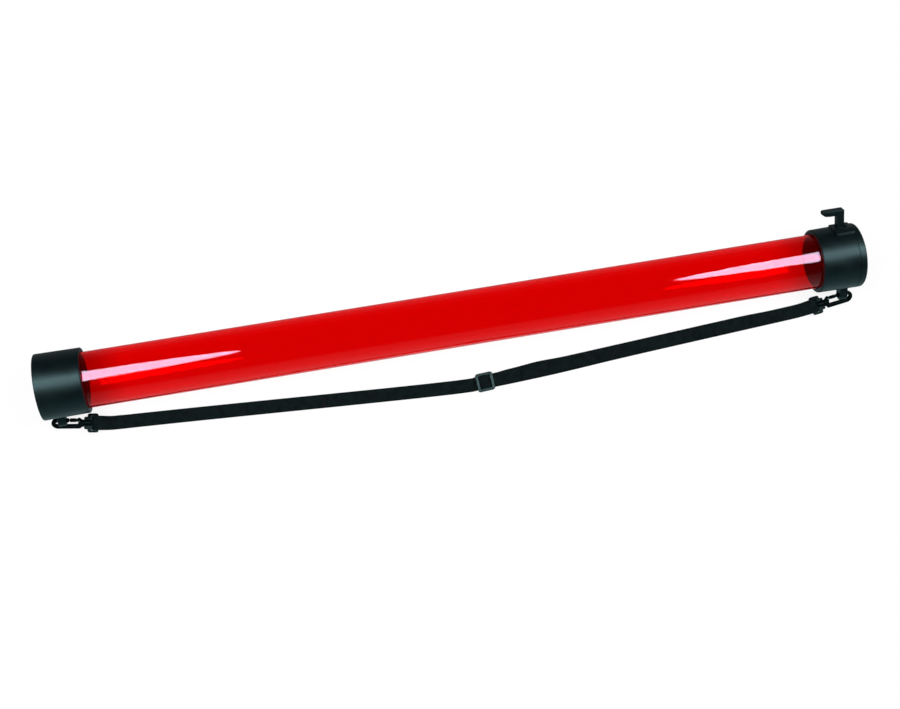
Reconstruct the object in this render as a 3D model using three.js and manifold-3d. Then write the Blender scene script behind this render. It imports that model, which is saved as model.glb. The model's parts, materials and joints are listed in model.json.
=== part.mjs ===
// Tennis ball pickup tube: a clear red tube with a black collar at each end and a shoulder strap.
// Pressing the pickup collar over a ball lets it in past four flexing fingers.
// The release cap at the other end has a thumb lever whose arm keeps the balls in.
// Units are millimetres, +X runs along the tube towards the release cap and +Z is up.
// The tube lies on its two round end pieces, with the strap beside it on the same surface.

import * as THREE from 'three';
import { mergeVertices } from 'three/addons/utils/BufferGeometryUtils.js';
import Module from 'manifold-3d';

const wasm = await Module();
wasm.setup();

// Ball and tube
const ballDiameter = 68.6;
const ballRunningGap = 3.4;
const tubeWall = 2;
const overallLength = 1140;

// Fits and rounding steps
const slipGap = 0.3;
const cutOverrun = 2;
const roundSegments = 72;
const smallRoundSegments = 28;
const arcSteps = 4;

// Shell shared by both end pieces, with depths measured from the outer face
const endPieceLength = 62;
const mouthWall = 6.4;
const rimFlare = 0.7;
const tubeSeatDepth = 43;
const endBoreStep = 0.5;
const mouthRounding = 1.6;
const innerChamfer = 0.8;

// Pickup collar
const pickupRimRounding = 1.2;
const retainerSeatWall = 4;
const retainerSeatDepth = 34;

// Release cap
const releaseRimRounding = 2;
const releaseGrooveDepth = 10.2;
const releaseGrooveWidth = 0.9;
const releaseGrooveSink = 0.5;
const leadOut = 1.5;

// Lever boss on the release cap
const bossStart = 8;
const bossEnd = 36;
const bossWidth = 25;
const bossProud = 1.7;
const bossRooting = 6;
const bossCornerRadius = 3;
const bossEdgeRounding = 0.8;

// Release lever, with lengths measured from its pivot
const leverDepth = 23.5;
const pivotSink = 0.7;
const leverWidth = 11.6;
const leverSideGap = 0.3;
const stemWidth = 10.4;
const leverHeight = 28.6;
const padReach = 26;
const padThickness = 6.2;
const padRootThickness = 7.4;
const padTipRadius = 1.5;
const padCornerFillet = 3;
const padPlanRadius = 5.4;
const hubRadius = 5.4;
const armLength = 16;
const armThickness = 4;
const armSlope = THREE.MathUtils.degToRad(33);
const leverSwing = THREE.MathUtils.degToRad(36);
const leverEdgeRounding = 0.5;
const pivotPinDiameter = 4;
const pivotPinBlindLength = 9.5;

// Retainer ring and its four fingers in the pickup collar
const retainerLength = 10;
const retainerSetBack = 0.4;
const retainerWall = 3.5;
const retainerLeadIn = 2;
const fingerCount = 4;
const fingerRootWidth = 25;
const fingerTipWidth = 17;
const fingerCornerRadius = 4;
const fingerLength = 19.5;
const fingerDrop = 6.8;
const fingerThickness = 1.8;
const fingerHingeGap = 0.8;
const fingerTipBead = 1.3;
const fingerRootInset = 1.3;

// Strap lugs, one on each end piece, with their holes along the tube
const lugDepth = 19;
const lugLength = 11;
const lugHoleRadius = 4.5;
const lugWall = 3.3;
const pickupLugStandOff = 8.9;
const releaseLugStandOff = 12.5;
const lugBaseHalfWidth = 8.6;
const lugEdgeRounding = 0.6;

// Snap hook, with lengths measured from the outer end of its bend
const hookLegSpacing = 12.6;
const hookBackWidth = 6;
const hookNoseWidth = 5;
const hookThickness = 6;
const hookEdgeRounding = 1.6;
const hookBendWall = 5.5;
const hookBendToLug = 16;
const hookNoseReach = 25.5;
const hookRootStart = 36;
const hookRootEnd = 42;
const hookFlangeRadius = 5;
const hookFlangeLength = 1.6;
const hookShankRadius = 2.1;
const hookHeadRadius = 3.8;
const hookHeadLength = 1.4;
const hookFloorGap = 0.1;

// Spring gate of the snap hook
const gateWidth = 3.6;
const gateThickness = 4.6;
const gateTangThickness = 2.6;
const gateTangReach = 4.2;
const gatePinRadius = 0.8;
const gatePivotInset = 1.6;
const gateSlotGap = 0.35;
const gateOpeningRoom = 1.6;
const gateRootGap = 1.6;

// Swivel eye that carries the webbing
const webbingWidth = 19;
const webbingThickness = 1.3;
const eyeStart = 48.4;
const eyeLength = 14.6;
const eyeRailWidth = 3;
const eyeSideGap = 0.5;
const eyeBar = 5;
const eyeThickness = 4.6;
const eyeCornerRadius = 3;
const eyeEdgeRounding = 0.9;
const eyeShoulderWidth = 17;
const eyeShoulderTaper = 1.2;
const barrelRadius = 4.8;

// Webbing and slide buckle
const foldLength = 34;
const foldConverge = 22;
const pieceGap = 0.8;
const sliderFromMiddle = 26;
const leftRunSteps = 18;
const leftArrivalShare = 0.1;
const sliderLength = 24;
const sliderRailWidth = 2.9;
const sliderBarWidth = 3.4;
const sliderMiddleBarWidth = 4.2;
const sliderBarHeight = 1.8;
const sliderCornerRadius = 2.4;
const sliderEdgeRounding = 0.6;
const loopLeftReach = 13.4;
const loopTailLength = 52;

// Pose of the tube on the surface it lies on
const lugTilt = THREE.MathUtils.degToRad(35);

// Turns in plan away from the line of the tube, of each hook and of the webbing that leaves it
const leftHookTurn = THREE.MathUtils.degToRad(8.8);
const leftRunTurn = THREE.MathUtils.degToRad(2.6);
const rightHookTurn = THREE.MathUtils.degToRad(7);
const rightRunTurn = THREE.MathUtils.degToRad(3.3);

// Sizes that follow from the ones above
const halfLength = overallLength / 2;
const tubeBoreRadius = (ballDiameter + ballRunningGap) / 2;
const tubeRadius = tubeBoreRadius + tubeWall;
const mouthRadius = tubeRadius + mouthWall;
const rimRadius = mouthRadius + rimFlare;
const socketRadius = tubeRadius + slipGap;
const endBoreRadius = tubeBoreRadius + endBoreStep;
const retainerSeatRadius = rimRadius - retainerSeatWall;
const retainerRadius = retainerSeatRadius - slipGap;
const retainerBoreRadius = retainerRadius - retainerWall;
const bossTop = rimRadius + bossProud;
const slotWidth = leverWidth + 2 * leverSideGap;
const pivotHoleRadius = pivotPinDiameter / 2 + slipGap;
const pivotRadius = rimRadius - pivotSink;
const pickupLugHeight = rimRadius + pickupLugStandOff;
const releaseLugHeight = rimRadius + releaseLugStandOff;
const axisHeight = rimRadius;

// Colours and finishes
const clearRedPlastic = new THREE.MeshStandardMaterial({
  color: 0xdc0306,
  roughness: 0.12,
  metalness: 0,
  transparent: true,
  opacity: 0.8,
});
const blackCapPlastic = new THREE.MeshStandardMaterial({ color: 0x141c1d, roughness: 0.42, metalness: 0 });
const blackFingerPlastic = new THREE.MeshStandardMaterial({ color: 0x101415, roughness: 0.5, metalness: 0 });
const blackHookPlastic = new THREE.MeshStandardMaterial({ color: 0x0e1414, roughness: 0.3, metalness: 0 });
const blackWebbing = new THREE.MeshStandardMaterial({ color: 0x0f1616, roughness: 0.9, metalness: 0 });
const pinSteel = new THREE.MeshStandardMaterial({ color: 0xb9bec2, roughness: 0.3, metalness: 1 });

// Signed volume of a geometry, positive when its faces point out
function signedVolume(geometry) {
  const position = geometry.getAttribute('position');
  const index = geometry.getIndex();
  const a = new THREE.Vector3();
  const b = new THREE.Vector3();
  const c = new THREE.Vector3();
  let sum = 0;
  for (let i = 0; i < index.count; i += 3) {
    a.fromBufferAttribute(position, index.getX(i));
    b.fromBufferAttribute(position, index.getX(i + 1));
    c.fromBufferAttribute(position, index.getX(i + 2));
    sum += a.dot(b.cross(c)) / 6;
  }
  return sum;
}

// Position-only copy of a geometry with shared corners merged and faces pointing out
function closedGeometry(source) {
  const bare = source.clone();
  bare.deleteAttribute('normal');
  bare.deleteAttribute('uv');
  const merged = mergeVertices(bare);
  if (signedVolume(merged) < 0) {
    const index = merged.getIndex();
    for (let i = 0; i < index.count; i += 3) {
      const first = index.getX(i);
      index.setX(i, index.getX(i + 1));
      index.setX(i + 1, first);
    }
  }
  return merged;
}

// A closed geometry as a solid for joining and cutting
function solidOf(source) {
  const geometry = closedGeometry(source);
  return new wasm.Manifold(new wasm.Mesh({
    numProp: 3,
    vertProperties: new Float32Array(geometry.getAttribute('position').array),
    triVerts: new Uint32Array(geometry.getIndex().array),
  }));
}

// A solid back as a geometry with face normals for display
function geometryOf(solid) {
  const mesh = solid.getMesh();
  const geometry = new THREE.BufferGeometry();
  geometry.setAttribute('position', new THREE.BufferAttribute(new Float32Array(mesh.vertProperties), 3));
  geometry.setIndex(new THREE.BufferAttribute(new Uint32Array(mesh.triVerts), 1));
  geometry.computeVertexNormals();
  return geometry;
}

// Joins several solids
function joined(first, ...rest) {
  return rest.reduce((sum, next) => sum.add(next), first);
}

// Points on an arc from one angle to another, both ends included
function arc(centreX, centreY, radius, from, to, steps = arcSteps) {
  const points = [];
  for (let i = 0; i <= steps; i += 1) {
    const angle = from + ((to - from) * i) / steps;
    points.push(new THREE.Vector2(centreX + radius * Math.cos(angle), centreY + radius * Math.sin(angle)));
  }
  return points;
}

// Solid ring turned about X from a closed outline of (x, radius) points
function turnedRing(outline, segments = roundSegments) {
  const profile = outline.map((point) => new THREE.Vector2(point.y, point.x));
  profile.push(profile[0].clone());
  return solidOf(new THREE.LatheGeometry(profile, segments).rotateZ(-Math.PI / 2));
}

// Plain round bar along X between two places
function roundBarX(radius, from, to, segments = smallRoundSegments) {
  const bar = new THREE.CylinderGeometry(radius, radius, to - from, segments);
  return solidOf(bar.rotateZ(-Math.PI / 2).translate((from + to) / 2, 0, 0));
}

// Plain round bar along Y between two places
function roundBarY(radius, from, to, segments = smallRoundSegments) {
  const bar = new THREE.CylinderGeometry(radius, radius, to - from, segments);
  return solidOf(bar.translate(0, (from + to) / 2, 0));
}

// Plain round bar along Z between two places
function roundBarZ(radius, from, to, segments = smallRoundSegments) {
  const bar = new THREE.CylinderGeometry(radius, radius, to - from, segments);
  return solidOf(bar.rotateX(Math.PI / 2).translate(0, 0, (from + to) / 2));
}

// Extrusion from z = 0 to the height, with its edges rounded inside that height and that outline
function roundedExtrusion(shape, height, rounding, steps = 2) {
  return new THREE.ExtrudeGeometry(shape, {
    depth: height - 2 * rounding,
    bevelEnabled: rounding > 0,
    bevelSize: rounding,
    bevelThickness: rounding,
    bevelOffset: -rounding,
    bevelSegments: steps,
  }).translate(0, 0, rounding);
}

// Extrusion of an (x, y) outline centred on z = 0
function plate(shape, thickness, rounding = 0, steps = 2) {
  return solidOf(roundedExtrusion(shape, thickness, rounding, steps).translate(0, 0, -thickness / 2));
}

// Extrusion of an (x, z) outline along Y, centred on y = 0
function sidePlate(shape, width, rounding = 0) {
  const geometry = roundedExtrusion(shape, width, rounding).translate(0, 0, -width / 2);
  return solidOf(geometry.rotateX(Math.PI / 2));
}

// Rounded rectangle between two x and two y values
function roundedRectangle(x0, x1, y0, y1, radius) {
  const shape = new THREE.Shape();
  shape.setFromPoints([
    ...arc(x1 - radius, y1 - radius, radius, 0, Math.PI / 2),
    ...arc(x0 + radius, y1 - radius, radius, Math.PI / 2, Math.PI),
    ...arc(x0 + radius, y0 + radius, radius, Math.PI, 1.5 * Math.PI),
    ...arc(x1 - radius, y0 + radius, radius, 1.5 * Math.PI, 2 * Math.PI),
  ]);
  return shape;
}

// Shape from a list of points
function shapeOf(points) {
  return new THREE.Shape().setFromPoints(points);
}

// Closed outline of a strip of even thickness that follows a line of points
function stripOutline(line, thickness) {
  const left = [];
  const right = [];
  line.forEach((point, i) => {
    const before = line[Math.max(i - 1, 0)];
    const after = line[Math.min(i + 1, line.length - 1)];
    const along = after.clone().sub(before).normalize();
    const across = new THREE.Vector2(-along.y, along.x).multiplyScalar(thickness / 2);
    left.push(point.clone().add(across));
    right.push(point.clone().sub(across));
  });
  return shapeOf([...left, ...right.reverse()]);
}

// Mesh with the name of its part
function part(name, solid, material) {
  const mesh = new THREE.Mesh(geometryOf(solid), material);
  mesh.name = name;
  return mesh;
}

// Outside of an end piece: rounded rim, slight taper and rounded mouth, as (depth, radius) points
function endPieceOutside(rimRounding) {
  return [
    ...arc(rimRounding, rimRadius - rimRounding, rimRounding, Math.PI, Math.PI / 2),
    ...arc(endPieceLength - mouthRounding, mouthRadius - mouthRounding, mouthRounding, Math.PI / 2, 0),
  ];
}

// Socket that the tube end sits in, from the mouth to the shoulder
function tubeSocket() {
  return [
    new THREE.Vector2(endPieceLength, socketRadius + innerChamfer),
    new THREE.Vector2(endPieceLength - innerChamfer, socketRadius),
    new THREE.Vector2(tubeSeatDepth, socketRadius),
    new THREE.Vector2(tubeSeatDepth, endBoreRadius),
  ];
}

// Strap lug: a rounded ear with its hole along the tube, joined to the wall of an end piece
function strapLug(holeHeight) {
  const earRadius = lugHoleRadius + lugWall;
  const rootHeight = rimRadius - retainerSeatWall / 2;
  const ear = shapeOf([
    new THREE.Vector2(lugBaseHalfWidth, -rootHeight),
    ...arc(0, -holeHeight, earRadius, 0, -Math.PI, 3 * arcSteps),
    new THREE.Vector2(-lugBaseHalfWidth, -rootHeight),
  ]);
  const block = roundedExtrusion(ear, lugLength, lugEdgeRounding).translate(0, 0, -lugLength / 2);
  block.rotateX(Math.PI / 2).rotateZ(Math.PI / 2);
  block.translate(lugDepth, 0, 0);
  return solidOf(block);
}

// Hole through a strap lug
function strapLugHole(holeHeight) {
  const reach = lugLength / 2 + cutOverrun;
  return roundBarX(lugHoleRadius, lugDepth - reach, lugDepth + reach).translate([0, 0, -holeHeight]);
}

// Pickup collar: shell, seat for the retainer ring and the lug
function pickupCollar() {
  const shell = turnedRing([
    ...endPieceOutside(pickupRimRounding),
    ...tubeSocket(),
    new THREE.Vector2(retainerSeatDepth, endBoreRadius),
    new THREE.Vector2(retainerSeatDepth, retainerSeatRadius),
    new THREE.Vector2(0, retainerSeatRadius),
  ]);
  return joined(shell, strapLug(pickupLugHeight)).subtract(strapLugHole(pickupLugHeight));
}

// Slot that the lever swings in, with the pocket that takes its folded arm
function leverSlot() {
  const stemRise = bossTop - pivotRadius;
  const openSide = stemRise * Math.tan(leverSwing) + stemWidth / 2 / Math.cos(leverSwing) + slipGap;
  const hubSide = hubRadius + slipGap;
  const closedSide = Math.max(stemWidth / 2, hubRadius) + slipGap;
  const foldedAngle = armSlope + leverSwing;
  const armCover = armThickness / 2 + slipGap;
  const fall = 1 / Math.tan(foldedAngle);
  const pocketEnd = armLength * Math.sin(foldedAngle) + armThickness / 2 + slipGap;
  const pocketTop = (along) => armCover / Math.sin(foldedAngle) - along * fall;
  const floor = endBoreRadius - pivotRadius - cutOverrun;
  const outline = shapeOf([
    new THREE.Vector2(-openSide, stemRise + cutOverrun),
    new THREE.Vector2(-openSide, stemRise - bossProud / 2),
    new THREE.Vector2(-hubSide, -hubRadius / 2),
    new THREE.Vector2(-hubSide, floor),
    new THREE.Vector2(pocketEnd, floor),
    new THREE.Vector2(pocketEnd, pocketTop(pocketEnd)),
    new THREE.Vector2(closedSide, pocketTop(closedSide)),
    new THREE.Vector2(closedSide, stemRise + cutOverrun),
  ]);
  return sidePlate(outline, slotWidth).translate([leverDepth, 0, pivotRadius]);
}

// Hole for the pivot pin, blind on one side of the boss and open on the other
function pivotHole() {
  const open = -bossWidth / 2 - cutOverrun;
  return roundBarY(pivotHoleRadius, open, pivotPinBlindLength).translate([leverDepth, 0, pivotRadius]);
}

// Release cap: shell with its ring groove, lever boss, slot, pin hole and lug
function releaseCap() {
  const grooveStart = releaseGrooveDepth - releaseGrooveWidth / 2;
  const outside = endPieceOutside(releaseRimRounding);
  const rim = outside.slice(0, arcSteps + 1);
  const mouth = outside.slice(arcSteps + 1);
  const shell = turnedRing([
    ...rim,
    new THREE.Vector2(grooveStart, rimRadius),
    new THREE.Vector2(grooveStart, rimRadius - releaseGrooveSink),
    new THREE.Vector2(grooveStart + releaseGrooveWidth, rimRadius - releaseGrooveSink),
    new THREE.Vector2(grooveStart + releaseGrooveWidth, rimRadius),
    ...mouth,
    ...tubeSocket(),
    new THREE.Vector2(leadOut, endBoreRadius),
    new THREE.Vector2(0, endBoreRadius + leadOut),
  ]);
  const bossOutline = roundedRectangle(bossStart, bossEnd, -bossWidth / 2, bossWidth / 2, bossCornerRadius);
  const bossHeight = bossProud + bossRooting;
  const boss = solidOf(
    roundedExtrusion(bossOutline, bossHeight, bossEdgeRounding).translate(0, 0, bossTop - bossHeight),
  );
  return joined(shell, boss, strapLug(releaseLugHeight))
    .subtract(strapLugHole(releaseLugHeight))
    .subtract(leverSlot())
    .subtract(pivotHole());
}

// Side outline of the stem and thumb pad, with the pivot at the origin
function stemAndPadOutline() {
  const half = stemWidth / 2;
  const top = leverHeight;
  const underPad = top - padRootThickness;
  return shapeOf([
    new THREE.Vector2(-half, 0),
    new THREE.Vector2(half, 0),
    ...arc(half + padCornerFillet, underPad - padCornerFillet, padCornerFillet, Math.PI, Math.PI / 2),
    new THREE.Vector2((half + padReach) / 2, underPad),
    new THREE.Vector2(padReach - padTipRadius - padThickness / 2, top - padThickness),
    ...arc(padReach - padTipRadius, top - padTipRadius, padTipRadius, -Math.PI / 4, Math.PI / 2),
    ...arc(-half + padTipRadius, top - padTipRadius, padTipRadius, Math.PI / 2, Math.PI),
  ]);
}

// Release lever: stem, thumb pad with a round end, hub and the arm that blocks the bore
function releaseLever() {
  const upper = sidePlate(stemAndPadOutline(), leverWidth, leverEdgeRounding);
  const plan = roundedRectangle(
    -stemWidth / 2 - padPlanRadius,
    padReach,
    -leverWidth / 2,
    leverWidth / 2,
    padPlanRadius,
  );
  const planCut = solidOf(
    new THREE.ExtrudeGeometry(plan, { depth: leverHeight + 2 * hubRadius, bevelEnabled: false })
      .translate(0, 0, -hubRadius),
  );
  const hub = roundBarY(hubRadius, -leverWidth / 2, leverWidth / 2);
  const half = armThickness / 2;
  const armOutline = shapeOf([
    new THREE.Vector2(0, -half),
    ...arc(armLength, 0, half, -Math.PI / 2, Math.PI / 2, 2 * arcSteps),
    new THREE.Vector2(0, half),
  ]);
  const arm = sidePlate(armOutline, leverWidth, leverEdgeRounding)
    .rotate([0, THREE.MathUtils.radToDeg(Math.PI / 2 - armSlope), 0]);
  const pinHole = roundBarY(pivotHoleRadius, -leverWidth, leverWidth);
  return joined(upper.intersect(planCut), hub, arm).subtract(pinHole);
}

// Retainer ring: plain ring with a lead-in cone that centres the ball
function retainerRing() {
  return turnedRing([
    new THREE.Vector2(retainerSetBack, retainerBoreRadius + retainerLeadIn),
    new THREE.Vector2(retainerSetBack, retainerRadius - innerChamfer),
    new THREE.Vector2(retainerSetBack + innerChamfer, retainerRadius),
    new THREE.Vector2(retainerLength, retainerRadius),
    new THREE.Vector2(retainerLength, retainerBoreRadius),
    new THREE.Vector2(retainerSetBack + 2 * retainerLeadIn, retainerBoreRadius),
  ]);
}

// One flexing finger above the axis, cut from a cone, with its hinge line at its root
const fingerRootDepth = retainerLength + fingerHingeGap;
const fingerRootRadius = retainerRadius - fingerRootInset - fingerThickness / 2;
function retainerFinger() {
  const slope = Math.atan2(fingerDrop, fingerLength);
  const across = new THREE.Vector2(Math.sin(slope), Math.cos(slope)).multiplyScalar(fingerThickness / 2);
  const root = new THREE.Vector2(fingerRootDepth, fingerRootRadius);
  const tip = new THREE.Vector2(fingerRootDepth + fingerLength, fingerRootRadius - fingerDrop);
  const beadSeat = new THREE.Vector2(-fingerTipBead, fingerTipBead * Math.tan(slope)).add(tip);
  const cone = turnedRing([
    new THREE.Vector2(root.x, root.y + fingerThickness / 2),
    beadSeat.clone().add(across),
    ...arc(tip.x, tip.y, fingerTipBead, Math.PI / 2 - slope, -Math.PI / 2 - slope, 2 * arcSteps),
    beadSeat.clone().sub(across),
    new THREE.Vector2(root.x, root.y - fingerThickness / 2),
  ]);
  const rootHalf = fingerRootWidth / 2;
  const cornerX = tip.x + fingerTipBead - fingerCornerRadius;
  const cornerY = fingerTipWidth / 2 - fingerCornerRadius;
  const plan = shapeOf([
    new THREE.Vector2(root.x - cutOverrun, -rootHalf),
    ...arc(cornerX, -cornerY, fingerCornerRadius, -Math.PI / 2, 0),
    ...arc(cornerX, cornerY, fingerCornerRadius, 0, Math.PI / 2),
    new THREE.Vector2(root.x - cutOverrun, rootHalf),
  ]);
  const planCut = solidOf(new THREE.ExtrudeGeometry(plan, { depth: rimRadius, bevelEnabled: false }));
  return cone.intersect(planCut);
}

// Snap hook body: back leg, bend, nose, root with its gate slot, and the headed swivel shank
function snapHook() {
  const half = hookLegSpacing / 2;
  const backOut = half + hookBackWidth / 2;
  const backIn = half - hookBackWidth / 2;
  const noseOut = half + hookNoseWidth / 2;
  const noseIn = half - hookNoseWidth / 2;
  const outerRadius = (backOut + noseOut) / 2;
  const innerRadius = (backIn + noseIn) / 2;
  const outerCentre = (noseOut - backOut) / 2;
  const innerCentre = (noseIn - backIn) / 2;
  const neckHalf = hookFlangeRadius;
  const outline = shapeOf([
    new THREE.Vector2(-hookRootEnd, -neckHalf),
    new THREE.Vector2(-hookRootStart, -backOut),
    ...arc(-outerRadius, outerCentre, outerRadius, -Math.PI / 2, Math.PI / 2, 3 * arcSteps),
    ...arc(-hookNoseReach + hookNoseWidth / 2, half, hookNoseWidth / 2, Math.PI / 2, 1.5 * Math.PI),
    ...arc(-hookBendWall - innerRadius, innerCentre, innerRadius, Math.PI / 2, -Math.PI / 2, 2 * arcSteps),
    new THREE.Vector2(-hookRootStart + hookBackWidth / 2, -backIn),
    new THREE.Vector2(-hookRootStart, -backIn + hookBackWidth / 2),
    new THREE.Vector2(-hookRootStart, noseOut),
    new THREE.Vector2(-hookRootStart - gatePivotInset * 2, noseOut),
    new THREE.Vector2(-hookRootEnd, neckHalf),
  ]);
  const body = plate(outline, hookThickness, hookEdgeRounding, 3);
  const flange = roundBarX(hookFlangeRadius, -hookRootEnd - hookFlangeLength, -hookRootEnd + hookFlangeLength);
  const shankEnd = eyeStart + eyeBar + slipGap + hookHeadLength;
  const shank = roundBarX(hookShankRadius, -shankEnd, -hookRootEnd);
  const head = roundBarX(hookHeadRadius, -shankEnd, -shankEnd + hookHeadLength);
  const slotHalf = gateTangThickness / 2 + gateSlotGap;
  const slotDeep = gateTangReach + gateSlotGap;
  const slot = plate(
    roundedRectangle(
      -hookRootStart - slotDeep,
      -hookRootStart + cutOverrun,
      half - gateWidth / 2 - gateSlotGap - gateOpeningRoom,
      noseOut + cutOverrun,
      gateSlotGap,
    ),
    2 * slotHalf,
  );
  const pinBore = roundBarZ(gatePinRadius + slipGap, -hookThickness, hookThickness, smallRoundSegments / 2)
    .translate([-hookRootStart - gatePivotInset, half, 0]);
  return joined(body, flange, shank, head).subtract(slot).subtract(pinBore);
}

// Spring gate: a tang in the slot of the hook's root and a thicker bar up to the nose
function hookGate() {
  const half = gateWidth / 2;
  const pivot = new THREE.Vector2(-hookRootStart - gatePivotInset, 0);
  const tipPlace = -hookNoseReach - slipGap;
  const tang = plate(
    shapeOf([
      ...arc(pivot.x, 0, half, Math.PI / 2, 1.5 * Math.PI, 2 * arcSteps),
      new THREE.Vector2(-hookRootStart + 2 * half, -half),
      new THREE.Vector2(-hookRootStart + 2 * half, half),
    ]),
    gateTangThickness,
  );
  const bar = plate(
    shapeOf([
      new THREE.Vector2(-hookRootStart + gateRootGap, -half),
      new THREE.Vector2(tipPlace, -half),
      new THREE.Vector2(tipPlace, half),
      new THREE.Vector2(-hookRootStart + gateRootGap, half),
    ]),
    gateThickness,
  );
  const pinBore = roundBarZ(gatePinRadius + slipGap, -hookThickness, hookThickness, smallRoundSegments / 2)
    .translate([pivot.x, 0, 0]);
  return joined(tang, bar).subtract(pinBore);
}

// Pin of the spring gate, flush with the sides of the hook's root
function gatePin() {
  const half = hookThickness / 2 - slipGap;
  return roundBarZ(gatePinRadius, -half, half, smallRoundSegments / 2);
}

// Swivel eye: a frame for the webbing, a stepped shoulder and the barrel that turns on the shank
const eyeHalfWidth = webbingWidth / 2 + eyeSideGap + eyeRailWidth;
const eyeBarCentre = eyeStart + eyeLength - eyeBar / 2;
const barrelTop = hookRootEnd + hookFlangeLength + slipGap;
function swivelEye() {
  const frameOutline = roundedRectangle(
    -eyeStart - eyeLength,
    -eyeStart,
    -eyeHalfWidth,
    eyeHalfWidth,
    eyeCornerRadius,
  );
  const inner = webbingWidth / 2 + eyeSideGap;
  const window = roundedRectangle(
    -eyeStart - eyeLength + eyeBar,
    -eyeStart - eyeBar,
    -inner,
    inner,
    eyeSideGap,
  );
  const frame = plate(frameOutline, eyeThickness, eyeEdgeRounding)
    .subtract(plate(window, eyeThickness + 2 * cutOverrun));
  const shoulderHalf = eyeShoulderWidth / 2;
  const shoulder = plate(
    shapeOf([
      new THREE.Vector2(-eyeStart - eyeBar / 2, -shoulderHalf),
      new THREE.Vector2(-barrelTop - eyeShoulderTaper, -shoulderHalf),
      new THREE.Vector2(-barrelTop, -shoulderHalf + eyeShoulderTaper),
      new THREE.Vector2(-barrelTop, shoulderHalf - eyeShoulderTaper),
      new THREE.Vector2(-barrelTop - eyeShoulderTaper, shoulderHalf),
      new THREE.Vector2(-eyeStart - eyeBar / 2, shoulderHalf),
    ]),
    eyeThickness,
    eyeEdgeRounding,
  );
  const barrel = roundBarX(barrelRadius, -eyeStart - eyeBar, -barrelTop);
  const bore = roundBarX(hookShankRadius + slipGap, -eyeStart - eyeBar - cutOverrun, -barrelTop + cutOverrun);
  return joined(frame, shoulder, barrel).subtract(bore);
}

// Heights of the webbing layers above the surface
const lowerLayer = webbingThickness / 2;
const upperLayer = lowerLayer + webbingThickness + slipGap;
const thirdLayer = upperLayer + webbingThickness + slipGap;

// Smooth step from 0 to 1
function ease(t) {
  return t * t * (3 - 2 * t);
}

// Bends a solid that lies along -X sideways in plan, from a place to the drift at its far end
function bentInPlan(solid, from, length, drift) {
  return solid.warp((point) => {
    const share = Math.max(from - point[0], 0) / length;
    const turn = Math.atan((2 * drift * share) / length);
    const across = point[1];
    point[0] += across * Math.sin(turn);
    point[1] = drift * share * share + across * Math.cos(turn);
  });
}

// Webbing fold round the bar of an eye, as an (x, z) outline with the swivel axis at z = 0
function eyeFold(axisLift, drift) {
  const loopRadius = (Math.hypot(eyeBar, eyeThickness) + slipGap + webbingThickness) / 2;
  const barX = -eyeBarCentre;
  const endX = barX - foldLength;
  const limb = (side, endHeight) => {
    const points = [new THREE.Vector2(endX, endHeight - axisLift)];
    const steps = 2 * arcSteps;
    for (let i = 0; i <= steps; i += 1) {
      const t = i / steps;
      const x = barX - (1 - t) * foldConverge;
      const height = THREE.MathUtils.lerp(endHeight - axisLift, side * loopRadius, ease(t));
      points.push(new THREE.Vector2(x, height));
    }
    return points;
  };
  const line = [
    ...limb(1, upperLayer),
    ...arc(barX, 0, loopRadius, Math.PI / 2, -Math.PI / 2, 2 * arcSteps).slice(1, -1),
    ...limb(-1, lowerLayer).reverse(),
  ];
  const fold = sidePlate(stripOutline(line, webbingThickness), webbingWidth);
  return bentInPlan(fold, barX, foldLength, drift);
}

// Slide buckle: side rails, two raised end bars and a lower middle bar
const middleBarBase = thirdLayer - webbingThickness / 2;
const loopCrest = middleBarBase + sliderBarHeight + slipGap + webbingThickness / 2;
const endBarBase = thirdLayer + webbingThickness / 2 + slipGap;
function slideBuckle() {
  const inner = webbingWidth / 2 + eyeSideGap;
  const outer = inner + sliderRailWidth;
  const halfSide = sliderLength / 2;
  const height = endBarBase + sliderBarHeight;
  const outline = roundedRectangle(-halfSide, halfSide, -outer, outer, sliderCornerRadius);
  const block = solidOf(roundedExtrusion(outline, height, sliderEdgeRounding));
  const windowOutline = roundedRectangle(-halfSide - cutOverrun, halfSide + cutOverrun, -inner, inner, cutOverrun / 2);
  const underCut = solidOf(
    new THREE.ExtrudeGeometry(windowOutline, { depth: endBarBase + cutOverrun, bevelEnabled: false })
      .translate(0, 0, -cutOverrun),
  );
  const topOutline = roundedRectangle(
    -halfSide + sliderBarWidth,
    halfSide - sliderBarWidth,
    -inner,
    inner,
    sliderEdgeRounding,
  );
  const topCut = solidOf(
    new THREE.ExtrudeGeometry(topOutline, { depth: height + cutOverrun, bevelEnabled: false }),
  );
  const middleOutline = roundedRectangle(
    -sliderMiddleBarWidth / 2,
    sliderMiddleBarWidth / 2,
    middleBarBase,
    middleBarBase + sliderBarHeight,
    sliderEdgeRounding,
  );
  const middle = sidePlate(middleOutline, 2 * inner + sliderRailWidth);
  return joined(block.subtract(underCut).subtract(topCut), middle);
}

// Webbing loop over the buckle's middle bar, sewn down on the layers beside it
function buckleLoop() {
  const crestHalf = sliderMiddleBarWidth / 2 + slipGap;
  const lowHalf = sliderLength / 2 - sliderBarWidth;
  const steps = 2 * arcSteps;
  const climb = [];
  for (let i = 0; i <= steps; i += 1) {
    const t = i / steps;
    const x = THREE.MathUtils.lerp(-lowHalf, -crestHalf, t);
    climb.push(new THREE.Vector2(x, THREE.MathUtils.lerp(thirdLayer, loopCrest, ease(t))));
  }
  const fall = climb.map((point) => new THREE.Vector2(-point.x, point.y)).reverse();
  const line = [
    new THREE.Vector2(-loopLeftReach, thirdLayer),
    ...climb,
    ...fall,
    new THREE.Vector2(loopTailLength, thirdLayer),
  ];
  return sidePlate(stripOutline(line, webbingThickness), webbingWidth);
}

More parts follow.
